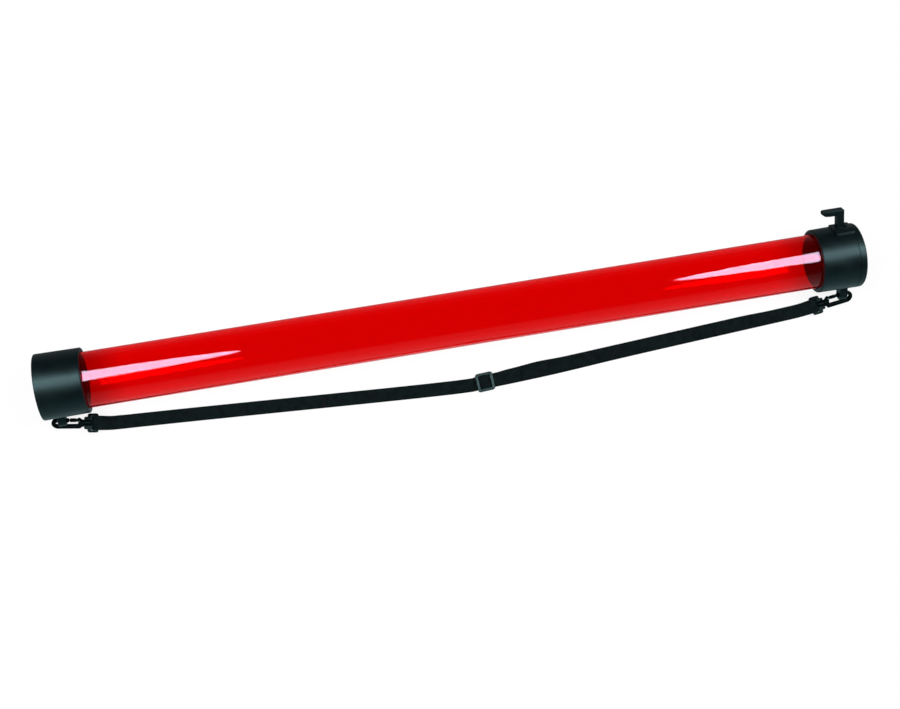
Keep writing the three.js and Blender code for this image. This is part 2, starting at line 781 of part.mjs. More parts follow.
// Roll of a hook that hangs from its lug and rests on the surface, with its swivel axis in plan and height
function hookRest(lugHeight) {
  const lugOffset = -lugHeight * Math.cos(lugTilt);
  const lugAbove = axisHeight - lugHeight * Math.sin(lugTilt);
  const square = Math.max(hookBackWidth, hookThickness) / 2 - hookEdgeRounding;
  const guess = Math.asin((lugAbove - hookBackWidth / 2) / hookLegSpacing);
  const backLegHeight = square * (Math.cos(guess) + Math.sin(guess)) + hookEdgeRounding + hookFloorGap;
  const roll = Math.asin((lugAbove - backLegHeight) / hookLegSpacing);
  return {
    roll,
    offset: lugOffset - (hookLegSpacing / 2) * Math.cos(roll),
    height: lugAbove - (hookLegSpacing / 2) * Math.sin(roll),
  };
}

// One end of the strap in plan: side 1 is the release end and side -1 the pickup end
function strapEnd(side, lugHeight, hookTurn, runTurn) {
  const rest = hookRest(lugHeight);
  const inward = new THREE.Vector2(-side * Math.cos(hookTurn), -Math.sin(hookTurn));
  const toTube = new THREE.Vector2(-side * Math.sin(hookTurn), Math.cos(hookTurn));
  const run = new THREE.Vector2(-side * Math.cos(runTurn), -Math.sin(runTurn));
  const drift = (foldLength * Math.tan(hookTurn - runTurn)) / 2;
  const lug = new THREE.Vector2(side * (halfLength - lugDepth), rest.offset);
  const origin = lug.addScaledVector(inward, -hookBendToLug);
  const runStart = origin.clone()
    .addScaledVector(inward, eyeBarCentre + foldLength)
    .addScaledVector(toTube, drift)
    .addScaledVector(run, pieceGap);
  return { rest, origin, run, runStart, yaw: side * hookTurn, drift: side * drift };
}
const leftEnd = strapEnd(-1, pickupLugHeight, leftHookTurn, leftRunTurn);
const rightEnd = strapEnd(1, releaseLugHeight, rightHookTurn, rightRunTurn);

// The right run is straight from its hook to the buckle, and the left run bows away from the tube
const rightDirection = rightEnd.run.clone().negate();
const rightRunLength = (rightEnd.runStart.x - sliderFromMiddle) / Math.cos(rightRunTurn);
const sliderPlace = rightEnd.runStart.clone().addScaledVector(rightEnd.run, rightRunLength);
const leftRunStart = sliderPlace.clone().addScaledVector(rightDirection, -loopLeftReach - pieceGap);

// Centre line of the left run in plan, from the sewn end at the left eye to the buckle
function leftRunLine() {
  const start = leftEnd.runStart;
  const length = start.distanceTo(leftRunStart);
  const leaving = leftEnd.run.clone().multiplyScalar(length);
  const arriving = rightDirection.clone().multiplyScalar(length);
  const points = [];
  for (let i = 0; i <= leftRunSteps; i += 1) {
    const t = i / leftRunSteps;
    const point = start.clone().multiplyScalar(1 - 3 * t * t + 2 * t * t * t);
    point.addScaledVector(leftRunStart, ease(t));
    point.addScaledVector(leaving, t * (1 - t) * (1 - t));
    point.addScaledVector(arriving, -t * t * (1 - t) * leftArrivalShare);
    points.push(point);
  }
  return points;
}

// Webbing that lies on the surface from the left eye through the buckle to the right eye
function lowerWebbing() {
  const line = [...leftRunLine(), sliderPlace.clone(), rightEnd.runStart];
  const geometry = roundedExtrusion(stripOutline(line, webbingWidth), webbingThickness, 0);
  return solidOf(geometry);
}

// Second layer of webbing, from the buckle's loop back to the right eye
function upperWebbing() {
  const half = webbingWidth / 2;
  const outline = shapeOf([
    new THREE.Vector2(loopLeftReach + pieceGap, -half),
    new THREE.Vector2(rightRunLength, -half),
    new THREE.Vector2(rightRunLength, half),
    new THREE.Vector2(loopLeftReach + pieceGap, half),
  ]);
  const geometry = roundedExtrusion(outline, webbingThickness, 0);
  return solidOf(geometry.translate(0, 0, upperLayer - webbingThickness / 2));
}

// Tube with its end pieces, drawn about the X axis with the lever up and then rolled onto its pose
const tubeGroup = new THREE.Group();
tubeGroup.position.set(0, 0, axisHeight);
tubeGroup.rotation.x = lugTilt - Math.PI / 2;

const tubeHalf = halfLength - tubeSeatDepth - slipGap;
tubeGroup.add(part('tube', turnedRing([
  new THREE.Vector2(-tubeHalf, tubeBoreRadius),
  new THREE.Vector2(-tubeHalf, tubeRadius),
  new THREE.Vector2(tubeHalf, tubeRadius),
  new THREE.Vector2(tubeHalf, tubeBoreRadius),
]), clearRedPlastic));

const pickupEnd = new THREE.Group();
pickupEnd.position.x = -halfLength;
pickupEnd.add(part('pickup_collar', pickupCollar(), blackCapPlastic));
pickupEnd.add(part('retainer_ring', retainerRing(), blackFingerPlastic));
const finger = retainerFinger();
for (let i = 0; i < fingerCount; i += 1) {
  const mesh = part(`retainer_finger_${i + 1}`, finger, blackFingerPlastic);
  mesh.rotation.x = ((i + 0.5) * 2 * Math.PI) / fingerCount;
  pickupEnd.add(mesh);
}
tubeGroup.add(pickupEnd);

const releaseEnd = new THREE.Group();
releaseEnd.position.x = halfLength;
releaseEnd.rotation.z = Math.PI;
releaseEnd.add(part('release_cap', releaseCap(), blackCapPlastic));
const lever = part('release_lever', releaseLever(), blackCapPlastic);
lever.position.set(leverDepth, 0, pivotRadius);
releaseEnd.add(lever);
const pivotPinEnd = bossWidth / 2 - slipGap;
const pivotPin = part(
  'lever_pivot_pin',
  roundBarY(pivotPinDiameter / 2, -pivotPinEnd, pivotPinBlindLength - slipGap),
  pinSteel,
);
pivotPin.position.copy(lever.position);
releaseEnd.add(pivotPin);
tubeGroup.add(releaseEnd);

// Strap with its hooks, eyes and buckle, lying beside the tube
const strapGroup = new THREE.Group();

for (const side of ['left', 'right']) {
  const isLeft = side === 'left';
  const { rest, origin, yaw, drift } = isLeft ? leftEnd : rightEnd;

  const hookPlace = new THREE.Group();
  hookPlace.position.set(origin.x, origin.y, rest.height);
  hookPlace.rotation.z = yaw;
  const hookRoll = new THREE.Group();
  hookRoll.rotation.x = rest.roll;
  const hookTurn = new THREE.Group();
  hookTurn.rotation.y = isLeft ? Math.PI : 0;
  hookTurn.add(part(`snap_hook_${side}`, snapHook(), blackHookPlastic));
  const gate = part(`hook_gate_${side}`, hookGate(), blackHookPlastic);
  gate.position.y = hookLegSpacing / 2;
  hookTurn.add(gate);
  const pin = part(`gate_pin_${side}`, gatePin(), pinSteel);
  pin.position.set(-hookRootStart - gatePivotInset, hookLegSpacing / 2, 0);
  hookTurn.add(pin);
  hookRoll.add(hookTurn);
  hookPlace.add(hookRoll);
  strapGroup.add(hookPlace);

  const eyePlace = new THREE.Group();
  eyePlace.position.copy(hookPlace.position);
  eyePlace.rotation.z = isLeft ? Math.PI + yaw : yaw;
  eyePlace.add(part(`strap_eye_${side}`, swivelEye(), blackHookPlastic));
  eyePlace.add(part(`webbing_end_${side}`, eyeFold(rest.height, drift), blackWebbing));
  strapGroup.add(eyePlace);
}

strapGroup.add(part('webbing_lower', lowerWebbing(), blackWebbing));
const buckleGroup = new THREE.Group();
buckleGroup.position.set(sliderPlace.x, sliderPlace.y, 0);
buckleGroup.rotation.z = rightRunTurn;
buckleGroup.add(part('webbing_upper', upperWebbing(), blackWebbing));
buckleGroup.add(part('slide_buckle', slideBuckle(), blackHookPlastic));
buckleGroup.add(part('buckle_loop', buckleLoop(), blackWebbing));
strapGroup.add(buckleGroup);

// The whole part, with its origin under the middle of its box
const group = new THREE.Group();
group.add(tubeGroup, strapGroup);
group.updateMatrixWorld(true);
const middle = new THREE.Box3().setFromObject(group, true).getCenter(new THREE.Vector3());
tubeGroup.position.x -= middle.x;
tubeGroup.position.y -= middle.y;
strapGroup.position.x -= middle.x;
strapGroup.position.y -= middle.y;

export default group;
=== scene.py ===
"""Dressed model of a tennis ball pickup tube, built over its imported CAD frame.

Lengths in the functions are millimetres. Every mesh is written in metres, with its place in it.
"""

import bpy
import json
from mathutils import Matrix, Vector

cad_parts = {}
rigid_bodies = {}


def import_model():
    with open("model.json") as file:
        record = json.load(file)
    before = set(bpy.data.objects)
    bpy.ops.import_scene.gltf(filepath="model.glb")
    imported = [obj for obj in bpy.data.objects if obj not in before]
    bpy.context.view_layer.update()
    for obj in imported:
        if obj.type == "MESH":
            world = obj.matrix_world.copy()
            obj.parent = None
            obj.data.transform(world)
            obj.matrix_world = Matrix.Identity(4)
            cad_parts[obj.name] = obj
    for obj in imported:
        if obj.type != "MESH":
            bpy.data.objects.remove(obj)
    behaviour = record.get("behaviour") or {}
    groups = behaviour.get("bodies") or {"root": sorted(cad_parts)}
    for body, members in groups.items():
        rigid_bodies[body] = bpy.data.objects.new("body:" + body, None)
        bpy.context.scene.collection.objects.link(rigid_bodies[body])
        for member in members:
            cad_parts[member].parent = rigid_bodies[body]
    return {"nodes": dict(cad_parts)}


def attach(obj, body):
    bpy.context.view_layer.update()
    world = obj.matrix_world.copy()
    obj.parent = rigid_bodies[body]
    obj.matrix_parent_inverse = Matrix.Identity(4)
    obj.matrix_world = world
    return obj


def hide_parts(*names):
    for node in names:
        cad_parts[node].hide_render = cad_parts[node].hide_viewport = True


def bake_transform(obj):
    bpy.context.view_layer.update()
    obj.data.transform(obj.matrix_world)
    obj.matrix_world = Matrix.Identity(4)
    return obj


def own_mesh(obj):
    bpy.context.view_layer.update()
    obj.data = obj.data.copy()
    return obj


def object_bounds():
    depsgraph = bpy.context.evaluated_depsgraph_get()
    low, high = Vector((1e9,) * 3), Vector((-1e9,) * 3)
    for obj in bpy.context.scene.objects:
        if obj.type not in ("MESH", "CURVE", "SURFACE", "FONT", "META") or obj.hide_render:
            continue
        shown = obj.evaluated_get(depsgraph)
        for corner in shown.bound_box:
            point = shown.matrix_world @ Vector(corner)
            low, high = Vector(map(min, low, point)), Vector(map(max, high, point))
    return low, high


bl_info = {
    "name": "Tennis ball pickup tube",
    "version": (1, 0, 0),
    "blender": (4, 5, 0),
    "location": "3D View > Sidebar > Pickup tube",
    "description": "Builds the dressed model of a clear tube that picks up and holds tennis balls",
    "category": "Add Mesh",
}

import json
import math

import bpy
import numpy as np
from mathutils import Matrix

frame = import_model()
CAD_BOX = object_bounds()
MM = 0.001


def linear(hex_colour):
    """Linear red, green and blue of an sRGB hex value."""
    parts = np.array([int(hex_colour[i:i + 2], 16) for i in (1, 3, 5)]) / 255
    low = parts / 12.92
    high = ((parts + 0.055) / 1.055) ** 2.4
    return tuple(float(v) for v in np.where(parts <= 0.04045, low, high))


# Places

class Place:
    """An origin and three axes: a local point p lies at origin + p.x X + p.y Y + p.z Z."""

    def __init__(self, origin, x, y, z):
        self.origin = np.array(origin, float)
        self.axes = np.array([x, y, z], float)

    def points(self, local):
        return self.origin + np.asarray(local, float) @ self.axes

    def direction(self, local):
        return np.asarray(local, float) @ self.axes


# The tube's axis and half length come from the frame.
TUBE_CORNERS = np.array(frame["nodes"]["tube"].bound_box) / MM
AXIS_Y, AXIS_Z = (round(float(v), 4) for v in TUBE_CORNERS.mean(axis=0)[1:])
HALF_LENGTH = round(CAD_BOX[1][0] / MM, 4)
LUG_TILT = math.radians(35)
ACROSS = (0, math.sin(LUG_TILT), -math.cos(LUG_TILT))
LEVER_UP = (0, math.cos(LUG_TILT), math.sin(LUG_TILT))
BACKWARDS = tuple(-v for v in ACROSS)

TUBE = Place((0, AXIS_Y, AXIS_Z), (1, 0, 0), ACROSS, LEVER_UP)
PICKUP_END = Place((-HALF_LENGTH, AXIS_Y, AXIS_Z), (1, 0, 0), ACROSS, LEVER_UP)
RELEASE_END = Place((HALF_LENGTH, AXIS_Y, AXIS_Z), (-1, 0, 0), BACKWARDS, LEVER_UP)

# The lever's pivot, in depth from the end's face and height over the tube's axis
PIVOT_DEPTH = 23.5
PIVOT_HEIGHT = 44.4
LEVER = Place(RELEASE_END.points((PIVOT_DEPTH, 0, PIVOT_HEIGHT)), *RELEASE_END.axes)

# The lugs' holes, and the hooks that hang in them
LUG_DEPTH = 19.0
PICKUP_LUG_DROP = 54.0
RELEASE_LUG_DROP = 57.6
HOOK_LEG = 6.3
BEND_TO_LUG = 16.0

# The folds round the bars of the eyes, and the turns in plan of hooks and runs, in degrees
BAR = -60.5
FOLD = 34.0
PIECE_GAP = 0.8
LEFT_HOOK_TURN = 8.8
LEFT_RUN_TURN = 2.6
RIGHT_HOOK_TURN = 7.0
RIGHT_RUN_TURN = 3.3
BUCKLE_FROM_MIDDLE = 26.0


def strap_place(side, origin, turn, roll=0.0):
    """Frame with X outwards along the strap, turned in plan and rolled about X by degrees."""
    c, s = math.cos(math.radians(turn)), math.sin(math.radians(turn))
    r = math.radians(roll)
    x = (side * c, s, 0)
    y = (-side * s * math.cos(r), c * math.cos(r), math.sin(r))
    return Place(origin, x, y, np.cross(x, y))


def hook_place(side, hole, turn, roll):
    """Frame of a hook whose nose passes through a lug's hole, with its origin at the bend's outer end."""
    flat = strap_place(side, hole, turn)
    r = math.radians(roll)
    origin = flat.points((BEND_TO_LUG, 0, 0)) - HOOK_LEG * np.array((0, math.cos(r), math.sin(r)))
    return strap_place(side, origin, turn, roll)


def eye_place(hook):
    """Frame of an eye: the hook's, with its Z upright."""
    x = hook.axes[0]
    return Place(hook.origin, x, (-x[1], x[0], 0), (0, 0, 1))


# The rolls lay the hooks on the surface beside the tube.
HOOKS = {
    "left": hook_place(-1, PICKUP_END.points((LUG_DEPTH, 0, -PICKUP_LUG_DROP)), LEFT_HOOK_TURN, 56.7206),
    "right": hook_place(1, RELEASE_END.points((LUG_DEPTH, 0, -RELEASE_LUG_DROP)), RIGHT_HOOK_TURN, 41.703),
}
EYES = {side: eye_place(hook) for side, hook in HOOKS.items()}
DRIFTS = {
    "left": -FOLD / 2 * math.tan(math.radians(LEFT_HOOK_TURN - LEFT_RUN_TURN)),
    "right": FOLD / 2 * math.tan(math.radians(RIGHT_HOOK_TURN - RIGHT_RUN_TURN)),
}
FOLD_ENDS = {side: EYES[side].points((BAR - FOLD, DRIFTS[side], 0))[:2] for side in EYES}
BUCKLE_DROP = (FOLD_ENDS["right"][0] - BUCKLE_FROM_MIDDLE) * math.tan(math.radians(RIGHT_RUN_TURN))
BUCKLE = strap_place(1, (BUCKLE_FROM_MIDDLE, FOLD_ENDS["right"][1] - BUCKLE_DROP, 0), RIGHT_RUN_TURN)
RIGHT_RUN_LENGTH = np.linalg.norm(FOLD_ENDS["right"] - BUCKLE.origin[:2]) - PIECE_GAP
LEFT_RUN_AXIS = strap_place(1, (0, 0, 0), -LEFT_RUN_TURN).axes[0][:2]
LEFT_RUN_START = FOLD_ENDS["left"] + PIECE_GAP * LEFT_RUN_AXIS


# Shapes

def arc(cx, cy, radius, start, end, steps):
    """Points (cx + r cos a, cy + r sin a) for evenly spaced angles a in degrees."""
    a = np.radians(np.linspace(start, end, steps + 1))
    return np.stack([cx + radius * np.cos(a), cy + radius * np.sin(a)], axis=1)


def unit(vectors):
    """Rows of vectors, each divided by its own length."""
    return vectors / np.linalg.norm(vectors, axis=-1, keepdims=True)


def rounded(outline, radii, steps=6):
    """Closed outline with each corner replaced by the arc that is tangent to both its sides."""
    p = np.asarray(outline, float)
    r = np.broadcast_to(np.asarray(radii, float), (len(p),))[:, None]
    back = unit(np.roll(p, 1, axis=0) - p)
    ahead = unit(np.roll(p, -1, axis=0) - p)
    half = np.arccos(np.clip((back * ahead).sum(1, keepdims=True), -1, 1)) / 2
    centre = p + unit(back + ahead) * r / np.sin(half)
    first = p + back * r / np.tan(half) - centre
    last = p + ahead * r / np.tan(half) - centre
    t = np.linspace(0, 1, steps + 1)[None, :, None]
    sweep = (math.pi - 2 * half)[:, None, :]
    blend = (np.sin((1 - t) * sweep) * first[:, None] + np.sin(t * sweep) * last[:, None]) / np.sin(sweep)
    points = (centre[:, None] + blend).reshape(-1, 2)
    keep = np.linalg.norm(points - np.roll(points, 1, axis=0), axis=1) > 1e-4
    return points[keep]


def rectangle(x0, x1, y0, y1, radius, steps=6):
    """Rectangle with rounded corners."""
    return rounded([(x0, y0), (x1, y0), (x1, y1), (x0, y1)], radius, steps)


def grid_faces(rows, columns, close_rows=False):
    """Quads between neighbours of a grid of points numbered row by row, each row a closed ring."""
    i = np.arange(rows if close_rows else rows - 1)[:, None]
    j = np.arange(columns)[None, :]
    i2 = (i + 1) % rows
    j2 = (j + 1) % columns
    quads = np.stack([i * columns + j, i * columns + j2, i2 * columns + j2, i2 * columns + j], axis=-1)
    return quads.reshape(-1, 4).tolist()


def capped(rows, columns):
    """Faces of a stack of closed rings, with one face over each end."""
    first = list(range(columns))[::-1]
    last = list(range((rows - 1) * columns, rows * columns))
    return [*grid_faces(rows, columns), first, last]


def turned(profile, segments=128, closed=True):
    """(x, r) profile turned about X: (x, r cos a, r sin a). A profile that isn't closed gets end discs."""
    p = np.asarray(profile, float)
    a = np.linspace(0, 2 * math.pi, segments, endpoint=False)
    x = np.repeat(p[:, :1], segments, axis=1)
    points = np.stack([x, p[:, 1:] * np.cos(a), p[:, 1:] * np.sin(a)], axis=-1).reshape(-1, 3)
    return points, grid_faces(len(p), segments, True) if closed else capped(len(p), segments)


def inset(outline, amount):
    """Closed outline moved inwards by the amount along the mean of its neighbouring normals."""
    p = np.asarray(outline, float)
    ahead = unit(np.roll(p, -1, axis=0) - p)
    normal = np.stack([-ahead[:, 1], ahead[:, 0]], axis=1)
    mean = unit(normal + np.roll(normal, 1, axis=0))
    lean = np.maximum((mean * normal).sum(1, keepdims=True), 0.4)
    area = 0.5 * np.sum(p[:, 0] * np.roll(p[:, 1], -1) - np.roll(p[:, 0], -1) * p[:, 1])
    return p + mean * np.sign(area) * amount / lean


def prism(outline, low, high, edge=0.0, steps=3):
    """Outline extruded along Z, each rim rounded: inset e (1 - sin a), height e (1 - cos a) from its face."""
    outline = np.asarray(outline, float)
    a = np.radians(np.linspace(0, 90, steps + 1)) if edge > 0 else np.array([math.pi / 2])
    rise = edge * (1 - np.cos(a))
    insets = edge * (1 - np.sin(a))
    heights = np.concatenate([low + rise, high - rise[::-1]])
    insets = np.concatenate([insets, insets[::-1]])
    rings = [np.column_stack([inset(outline, s) if s > 1e-9 else outline, np.full(len(outline), z)])
             for s, z in zip(insets, heights)]
    return np.concatenate(rings), capped(len(rings), len(outline))


def side_prism(outline, width, edge=0.0):
    """An (x, z) outline extruded along Y, centred on y = 0."""
    points, faces = prism(outline, -width / 2, width / 2, edge)
    return points[:, [0, 2, 1]], faces


def depth_prism(outline, start, end, edge=0.0):
    """A (y, z) outline extruded along X, which is the depth in an end piece."""
    points, faces = prism(outline, start, end, edge)
    return points[:, [2, 0, 1]], faces


def round_bar(radius, start, end, axis, centre=(0, 0), edge=0.0, segments=32):
    """Round bar along an axis, with its two rims rounded."""
    profile = [(start, radius), (end, radius)]
    if edge > 0:
        profile = np.concatenate([arc(start + edge, radius - edge, edge, 180, 90, 4),
                                  arc(end - edge, radius - edge, edge, 90, 0, 4)])
    points, faces = turned(profile, segments, closed=False)
    order = {"x": [0, 1, 2], "y": [1, 0, 2], "z": [1, 2, 0]}[axis]
    return (points + [0, *centre])[:, order], faces


def rotated(points, degrees, first, second):
    """Points turned in the plane of two of their axes, from the first towards the second."""
    c, s = math.cos(math.radians(degrees)), math.sin(math.radians(degrees))
    moved = points.copy()
    moved[:, first] = points[:, first] * c - points[:, second] * s
    moved[:, second] = points[:, first] * s + points[:, second] * c
    return moved


def superellipse(power, count=28):
    """Points with |y|^n + |z|^n = 1."""
    a = np.linspace(0, 2 * math.pi, count, endpoint=False)
    c, s = np.cos(a), np.sin(a)
    return np.stack([np.sign(c) * np.abs(c) ** (2 / power), np.sign(s) * np.abs(s) ** (2 / power)], axis=1)


def swept(path, side, section, widths=1.0, heights=1.0):
    """A section carried along a path: p + w u side + h v up, with up square to the path and side."""
    tangent = unit(np.gradient(path, axis=0))
    side = np.broadcast_to(np.asarray(side, float), path.shape)
    side = unit(side - tangent * (side * tangent).sum(1, keepdims=True))
    up = np.cross(tangent, side)
    u = section[:, 0][None, :, None] * np.broadcast_to(widths, len(path))[:, None, None]
    v = section[:, 1][None, :, None] * np.broadcast_to(heights, len(path))[:, None, None]
    points = (path[:, None] + side[:, None] * u + up[:, None] * v).reshape(-1, 3)
    return points, capped(len(path), len(section))


def smooth_step(t):
    """0 to 1 with level ends: 3 t^2 - 2 t^3."""
    t = np.clip(t, 0, 1)
    return t * t * (3 - 2 * t)


def swell(x, height, middle, width):
    """A soft rise round a middle: h exp(-((x - m) / w)^2)."""
    return height * np.exp(-((x - middle) / width) ** 2)


def distances(path):
    """Distance run along a path at each of its points."""
    steps = np.linalg.norm(np.diff(path, axis=0), axis=1)
    return np.concatenate([[0], np.cumsum(steps)])


def resampled(rows, spacing):
    """Rows of a point and other values, evenly spaced along the points' path."""
    s = distances(rows[:, :3])
    even = np.linspace(0, s[-1], max(int(round(s[-1] / spacing)), 2) + 1)
    return np.stack([np.interp(even, s, column) for column in rows.T], axis=1)


# Meshes

def mesh_of(name, points, faces, uv=None):
    """Mesh from points in millimetres, with faces turned outwards."""
    mesh = bpy.data.meshes.new(name)
    mesh.from_pydata((np.asarray(points) * MM).tolist(), [], faces)
    if uv is not None:
        layer = mesh.uv_layers.new(name="UVMap")
        corners = np.empty(len(mesh.loops), np.int32)
        mesh.loops.foreach_get("vertex_index", corners)
        layer.data.foreach_set("uv", np.asarray(uv, float)[corners].ravel())
    mesh.validate()
    if signed_volume(mesh) < 0:
        mesh.flip_normals()
    mesh.update()
    return mesh


def vertices(mesh):
    """The places of a mesh's vertices, in metres."""
    places = np.empty(len(mesh.vertices) * 3)
    mesh.vertices.foreach_get("co", places)
    return places.reshape(-1, 3)


def signed_volume(mesh):
    """Sum of a . (b x c) / 6 over the triangles of a closed mesh."""
    mesh.calc_loop_triangles()
    corners = np.empty(len(mesh.loop_triangles) * 3, np.int32)
    mesh.loop_triangles.foreach_get("vertices", corners)
    a, b, c = vertices(mesh)[corners.reshape(-1, 3)].transpose(1, 0, 2)
    return float((a * np.cross(b, c)).sum() / 6)


def merged(*solids):
    """Several point and face lists as one."""
    points, faces, start = [], [], 0
    for p, f in solids:
        points.append(p)
        faces.extend([[k + start for k in face] for face in f])
        start += len(p)
    return np.concatenate(points), faces


def combined(name, base, adds=(), cuts=(), keeps=()):
    """Mesh of a base solid kept inside some solids, joined with others and cut by others."""
    body = bpy.data.objects.new(name, mesh_of(name, *base))
    bpy.context.scene.collection.objects.link(body)
    tools = []
    for kind, solids in (("INTERSECT", keeps), ("UNION", adds), ("DIFFERENCE", cuts)):
        for solid in solids:
            tool = bpy.data.objects.new("tool", mesh_of("tool", *solid))
            bpy.context.scene.collection.objects.link(tool)
            step = body.modifiers.new("step", "BOOLEAN")
            step.operation = kind
            step.solver = "MANIFOLD"
            step.object = tool
            tools.append(tool)
    result = bpy.data.meshes.new_from_object(body.evaluated_get(bpy.context.evaluated_depsgraph_get()))
    for item in [body, *tools]:
        data = item.data
        bpy.data.objects.remove(item)
        bpy.data.meshes.remove(data)
    if len(result.polygons) == 0:
        raise RuntimeError(f"{name} came out empty")
    result.name = name
    return result


def solid_of(mesh):
    """Points in millimetres and faces of a mesh, to combine it again."""
    return vertices(mesh) / MM, [list(p.vertices) for p in mesh.polygons]


def placed(mesh, place):
    """Moves a mesh from its local frame to its place."""
    mesh.vertices.foreach_set("co", (place.points(vertices(mesh) / MM) * MM).ravel())
    if np.linalg.det(place.axes) < 0:
        mesh.flip_normals()
    mesh.update()
    return mesh


def piece(name, mesh, look, body=None, nodes=(), sharp=32, weighted=True):
    """Object in its finish, smooth but for edges past an angle, with its body and the nodes it replaces."""
    slot, material = finish(look)
    mesh.materials.clear()
    mesh.materials.append(material)
    mesh.polygons.foreach_set("use_smooth", np.ones(len(mesh.polygons), bool))
    mesh.set_sharp_from_angle(angle=math.radians(sharp))
    obj = bpy.data.objects.new(name, mesh)
    bpy.context.scene.collection.objects.link(obj)
    if weighted:
        normals = obj.modifiers.new("Weighted normals", "WEIGHTED_NORMAL")
        normals.keep_sharp = True
    if nodes:
        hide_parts(*nodes)
    if body:
        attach(obj, body)
    return obj


# Materials

def add_node(tree, kind, settings=None, links=None):
    """Adds a node, with values for its properties and sockets, and the nodes or sockets that feed it."""
    made = tree.nodes.new("ShaderNode" + kind)
    for key, value in (settings or {}).items():
        if isinstance(key, str) and hasattr(made, key):
            setattr(made, key, value)
        else:
            made.inputs[key].default_value = value
    for key, source in (links or {}).items():
        socket = source.outputs[0] if isinstance(source, bpy.types.Node) else source
        tree.links.new(socket, made.inputs[key])
    return made


def new_material(name):
    """Empty node material and its tree."""
    material = bpy.data.materials.new(name)
    material.use_nodes = True
    material.node_tree.nodes.clear()
    return material, material.node_tree


def grown_bump(tree, coordinates, scale, detail, distance, strength):
    """Bump from noise whose cells are one over the scale in metres."""
    noise = add_node(tree, "TexNoise", {"Scale": scale, "Detail": detail, "Roughness": 0.55},
                     {"Vector": coordinates})
    return add_node(tree, "Bump", {"Strength": strength, "Distance": distance}, {"Height": noise})


def clear_extruded_plastic(colour):
    """Red polycarbonate tube, extruded: clear and glossy, with faint draw lines."""
    material, tree = new_material("clear_extruded_plastic")
    place = add_node(tree, "TexCoord").outputs["Object"]
    # The lines run the length of the tube, so the noise is drawn out a little along X. Its 11 mm
    # cells are coarser than real draw lines, so that they show.
    stretch = add_node(tree, "Mapping", {"Scale": (0.8, 1, 1)}, {"Vector": place})
    bump = grown_bump(tree, stretch, 90, 1, 0.00002, 0.1)
    # Painted shade: the base colour's red is darkened over the last 6 cm towards the end pieces, standing in
    # for the shade that they cast on the tube.
    axes = add_node(tree, "SeparateXYZ", {}, {"Vector": place})
    along = add_node(tree, "Math", {"operation": "ABSOLUTE"}, {0: axes.outputs["X"]})
    shade = add_node(tree, "MapRange", {"interpolation_type": "SMOOTHSTEP", "From Min": 0.448,
                                        "From Max": 0.512, "To Min": 1, "To Max": 0.76}, {"Value": along})
    tint = add_node(tree, "VectorMath", {"operation": "SCALE", 0: colour}, {"Scale": shade})
    shader = add_node(tree, "BsdfPrincipled", {"Roughness": 0.03, "IOR": 1.25, "Transmission Weight": 0.93},
                      {"Base Color": tint, "Normal": bump})
    # Light that casts a shadow takes the colour of one surface, and crosses two in each wall.
    surface = tuple(math.sqrt(v) for v in colour)
    passing = add_node(tree, "BsdfTransparent", {"Color": (*surface, 1)})
    path = add_node(tree, "LightPath")
    mixed = add_node(tree, "MixShader", {}, {0: path.outputs["Is Shadow Ray"], 1: shader, 2: passing})
    add_node(tree, "OutputMaterial", {}, {"Surface": mixed})
    return material


def moulded_plastic(name, colour, roughness, grain, depth, level=0.23):
    """Moulded thermoplastic: an even colour, a fine spark-eroded grain and patches of different gloss."""
    material, tree = new_material(name)
    place = add_node(tree, "TexCoord").outputs["Object"]
    bump = grown_bump(tree, place, 1 / grain, 2, depth, 0.6)
    patches = add_node(tree, "TexNoise", {"Scale": 38, "Detail": 3}, {"Vector": place})
    gloss = add_node(tree, "MapRange", {"From Min": 0.3, "From Max": 0.7, "To Min": roughness - 0.05,
                                        "To Max": roughness + 0.05}, {"Value": patches})
    shader = add_node(tree, "BsdfPrincipled", {"Base Color": (*colour, 1), "IOR": 1.52,
                                               "Specular IOR Level": level,
                                               "Specular Tint": (0.55, 0.94, 1.0, 1)},
                      {"Roughness": gloss, "Normal": bump})
    add_node(tree, "OutputMaterial", {}, {"Surface": shader})
    return material


